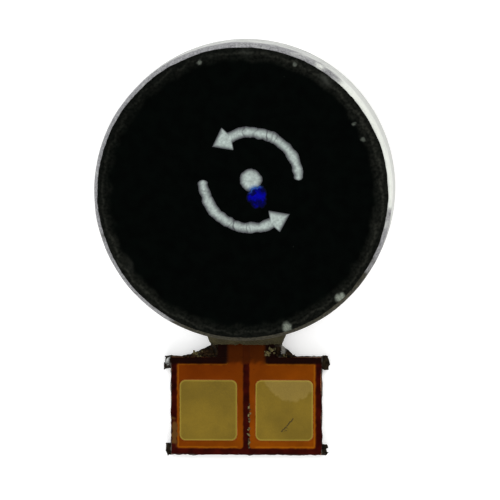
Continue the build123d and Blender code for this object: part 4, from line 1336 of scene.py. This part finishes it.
class CoinBuildRotor(bpy.types.Operator):
    """Build the rotor's bush, coils, weight and segments and finish its board and resin"""

    bl_idname = "coin.build_rotor"
    bl_label = "Rotor"

    def execute(self, context):
        bore, rim = shaft_high[0] + 0.015, bush_high[0]
        low, high = bush_low[2], bush_high[2]
        sleeve = turned([(bore, low), (rim, low), (rim, high), (bore, high)], 0.035, 0.12, 200)
        piece("sleeve", [sleeve], "sintered_bronze", "bush", body="rotor")
        for name, side in (("left", -1), ("right", 1)):
            piece(f"winding_{name}", [coil_skin(side)], "enamelled_copper", f"coil_{name}", body="rotor",
                  sharp=70)
        weight = band_skin(WEIGHT_INNER, WEIGHT_OUTER, math.pi / 2 - WEIGHT_SWEEP / 2, WEIGHT_SWEEP,
                           weight_low[2], weight_high[2], 0.08, 120)
        piece("weight_block", [weight], "tungsten_alloy", "counterweight", body="rotor")
        low, high = corners("commutator_segments")
        gap = SEGMENT_GAP / ((SEGMENT_INNER + SEGMENT_OUTER) / 2)
        segments = [
            band_skin(SEGMENT_INNER, SEGMENT_OUTER, math.pi / 2 + TURN * n / SEGMENTS + gap / 2,
                      TURN / SEGMENTS - gap, low[2], high[2], 0.01, 40)
            for n in range(SEGMENTS)
        ]
        piece("segment_set", segments, "copper", "commutator_segments", body="rotor")
        eased_node("resin_body", "rotor_moulding", "rotor", "moulding_resin", 0.02)
        dress("commutator_board", "board_laminate")
        dress("coil_leads", "enamelled_copper")
        joints = []
        for number, angle in enumerate((-144, -101, -79, -36)):
            ring = 1.88
            turn = math.radians(angle)
            joints.append(lump((ring * math.cos(turn), ring * math.sin(turn), board_high[2]),
                               (0.15, 0.15, 0.1),
                               700 + number, 0.06, 18))
        piece("solder_drops", joints, "solder", "coil_solder_joints", body="rotor")
        return {"FINISHED"}


# ---------------------------------------------------------------- stage
class CoinBuildStage(bpy.types.Operator):
    """Set up the floor, the lights and the camera"""

    bl_idname = "coin.build_stage"
    bl_label = "Stage"

    def execute(self, context):
        scene = context.scene
        setting = scene.coin_stage
        scene.view_settings.view_transform = "Standard"
        world = bpy.data.worlds.new("Soft room")
        world.use_nodes = True
        world.node_tree.nodes["Background"].inputs["Color"].default_value = (1, 1, 1, 1)
        world.node_tree.nodes["Background"].inputs["Strength"].default_value = setting.glow
        scene.world = world
        mesh = bpy.data.meshes.new("floor")
        reach = 300 * MM
        mesh.from_pydata([(-reach, -reach, -1e-5), (reach, -reach, -1e-5), (reach, reach, -1e-5),
                          (-reach, reach, -1e-5)],
                         [], [(0, 1, 2, 3)])
        floor = bpy.data.objects.new("floor", mesh)
        scene.collection.objects.link(floor)
        white = tuple(setting.floor)
        mesh.materials.append(finish("Plain floor", shade(white, 0.985), white, patch=0.05,
                                     roughness=(0.8, 0.9),
                                     grain=(0.5, 0.05, 0.01), Emission_Color=(1, 1, 1, 1),
                                     Emission_Strength=0.25))
        target = Vector((0.253, -1.91, FILM_TOP)) * MM
        for name, where, size, power, tint in (
            ("key light", (70, 55, 95), 70, 0.06, (1.0, 0.99, 0.97)),
            ("fill light", (-95, 40, 70), 60, 0.05, (0.96, 0.98, 1.0)),
            ("front light", (-20, -110, 60), 60, 0.03, (1.0, 0.96, 0.9)),
        ):
            lamp = bpy.data.lights.new(name, "AREA")
            lamp.size = size * MM
            lamp.energy = power
            lamp.color = tint
            holder = bpy.data.objects.new(name, lamp)
            scene.collection.objects.link(holder)
            holder.location = Vector(where) * MM
            holder.rotation_euler = (holder.location - target).to_track_quat("Z", "Y").to_euler()
        camera = bpy.data.cameras.new("camera")
        camera.sensor_width = 36.0
        camera.lens = setting.lens
        camera.clip_start = 1 * MM
        camera.clip_end = 10.0
        back = Vector((math.sin(setting.lean_x), math.sin(setting.lean_y), 1)).normalized()
        right = Vector((0, 1, 0)).cross(back).normalized()
        up = back.cross(right)
        eye = target + back * setting.distance
        viewer = bpy.data.objects.new("camera", camera)
        viewer.matrix_world = Matrix(((right.x, up.x, back.x, eye.x), (right.y, up.y, back.y, eye.y),
                                      (right.z, up.z, back.z, eye.z), (0, 0, 0, 1)))
        scene.collection.objects.link(viewer)
        scene.camera = viewer
        return {"FINISHED"}


class CoinMakeFinishes(bpy.types.Operator):
    """Make the shared effects and every finish"""

    bl_idname = "coin.make_finishes"
    bl_label = "Finishes"

    def execute(self, context):
        scene = context.scene
        make_effects()
        finishes.update(make_finishes(scene.coin_case, scene.coin_print, scene.coin_tail))
        return {"FINISHED"}


# In the order in which the steps run.
OPERATORS = (
    CoinMakeFinishes,
    CoinBuildStage,
    CoinBuildCase,
    CoinBuildPrint,
    CoinBuildCircuit,
    CoinBuildPlate,
    CoinBuildStator,
    CoinBuildRotor,
)
SETTINGS = {
    "coin_case": CoinCaseSettings,
    "coin_print": CoinPrintSettings,
    "coin_tail": CoinTailSettings,
    "coin_stage": CoinStageSettings,
}


class CoinPanel(bpy.types.Panel):
    """Sizes, colours and build steps of the coin motor"""

    bl_idname = "VIEW3D_PT_coin_motor"
    bl_label = "Coin Motor"
    bl_space_type = "VIEW_3D"
    bl_region_type = "UI"
    bl_category = "Coin Motor"

    def draw(self, context):
        for name, group in SETTINGS.items():
            box = self.layout.box()
            for key in group.__annotations__:
                box.prop(getattr(context.scene, name), key)
        for operator in OPERATORS:
            self.layout.operator(operator.bl_idname)


def register():
    for group in SETTINGS.values():
        bpy.utils.register_class(group)
    for name, group in SETTINGS.items():
        setattr(bpy.types.Scene, name, PointerProperty(type=group))
    for operator in OPERATORS:
        bpy.utils.register_class(operator)
    bpy.utils.register_class(CoinPanel)


def unregister():
    bpy.utils.unregister_class(CoinPanel)
    for operator in reversed(OPERATORS):
        bpy.utils.unregister_class(operator)
    for name, group in SETTINGS.items():
        delattr(bpy.types.Scene, name)
        bpy.utils.unregister_class(group)


def main():
    register()
    for operator in OPERATORS:
        area, step = operator.bl_idname.split(".")
        getattr(getattr(bpy.ops, area), step)()


if __name__ == "__main__":
    main()
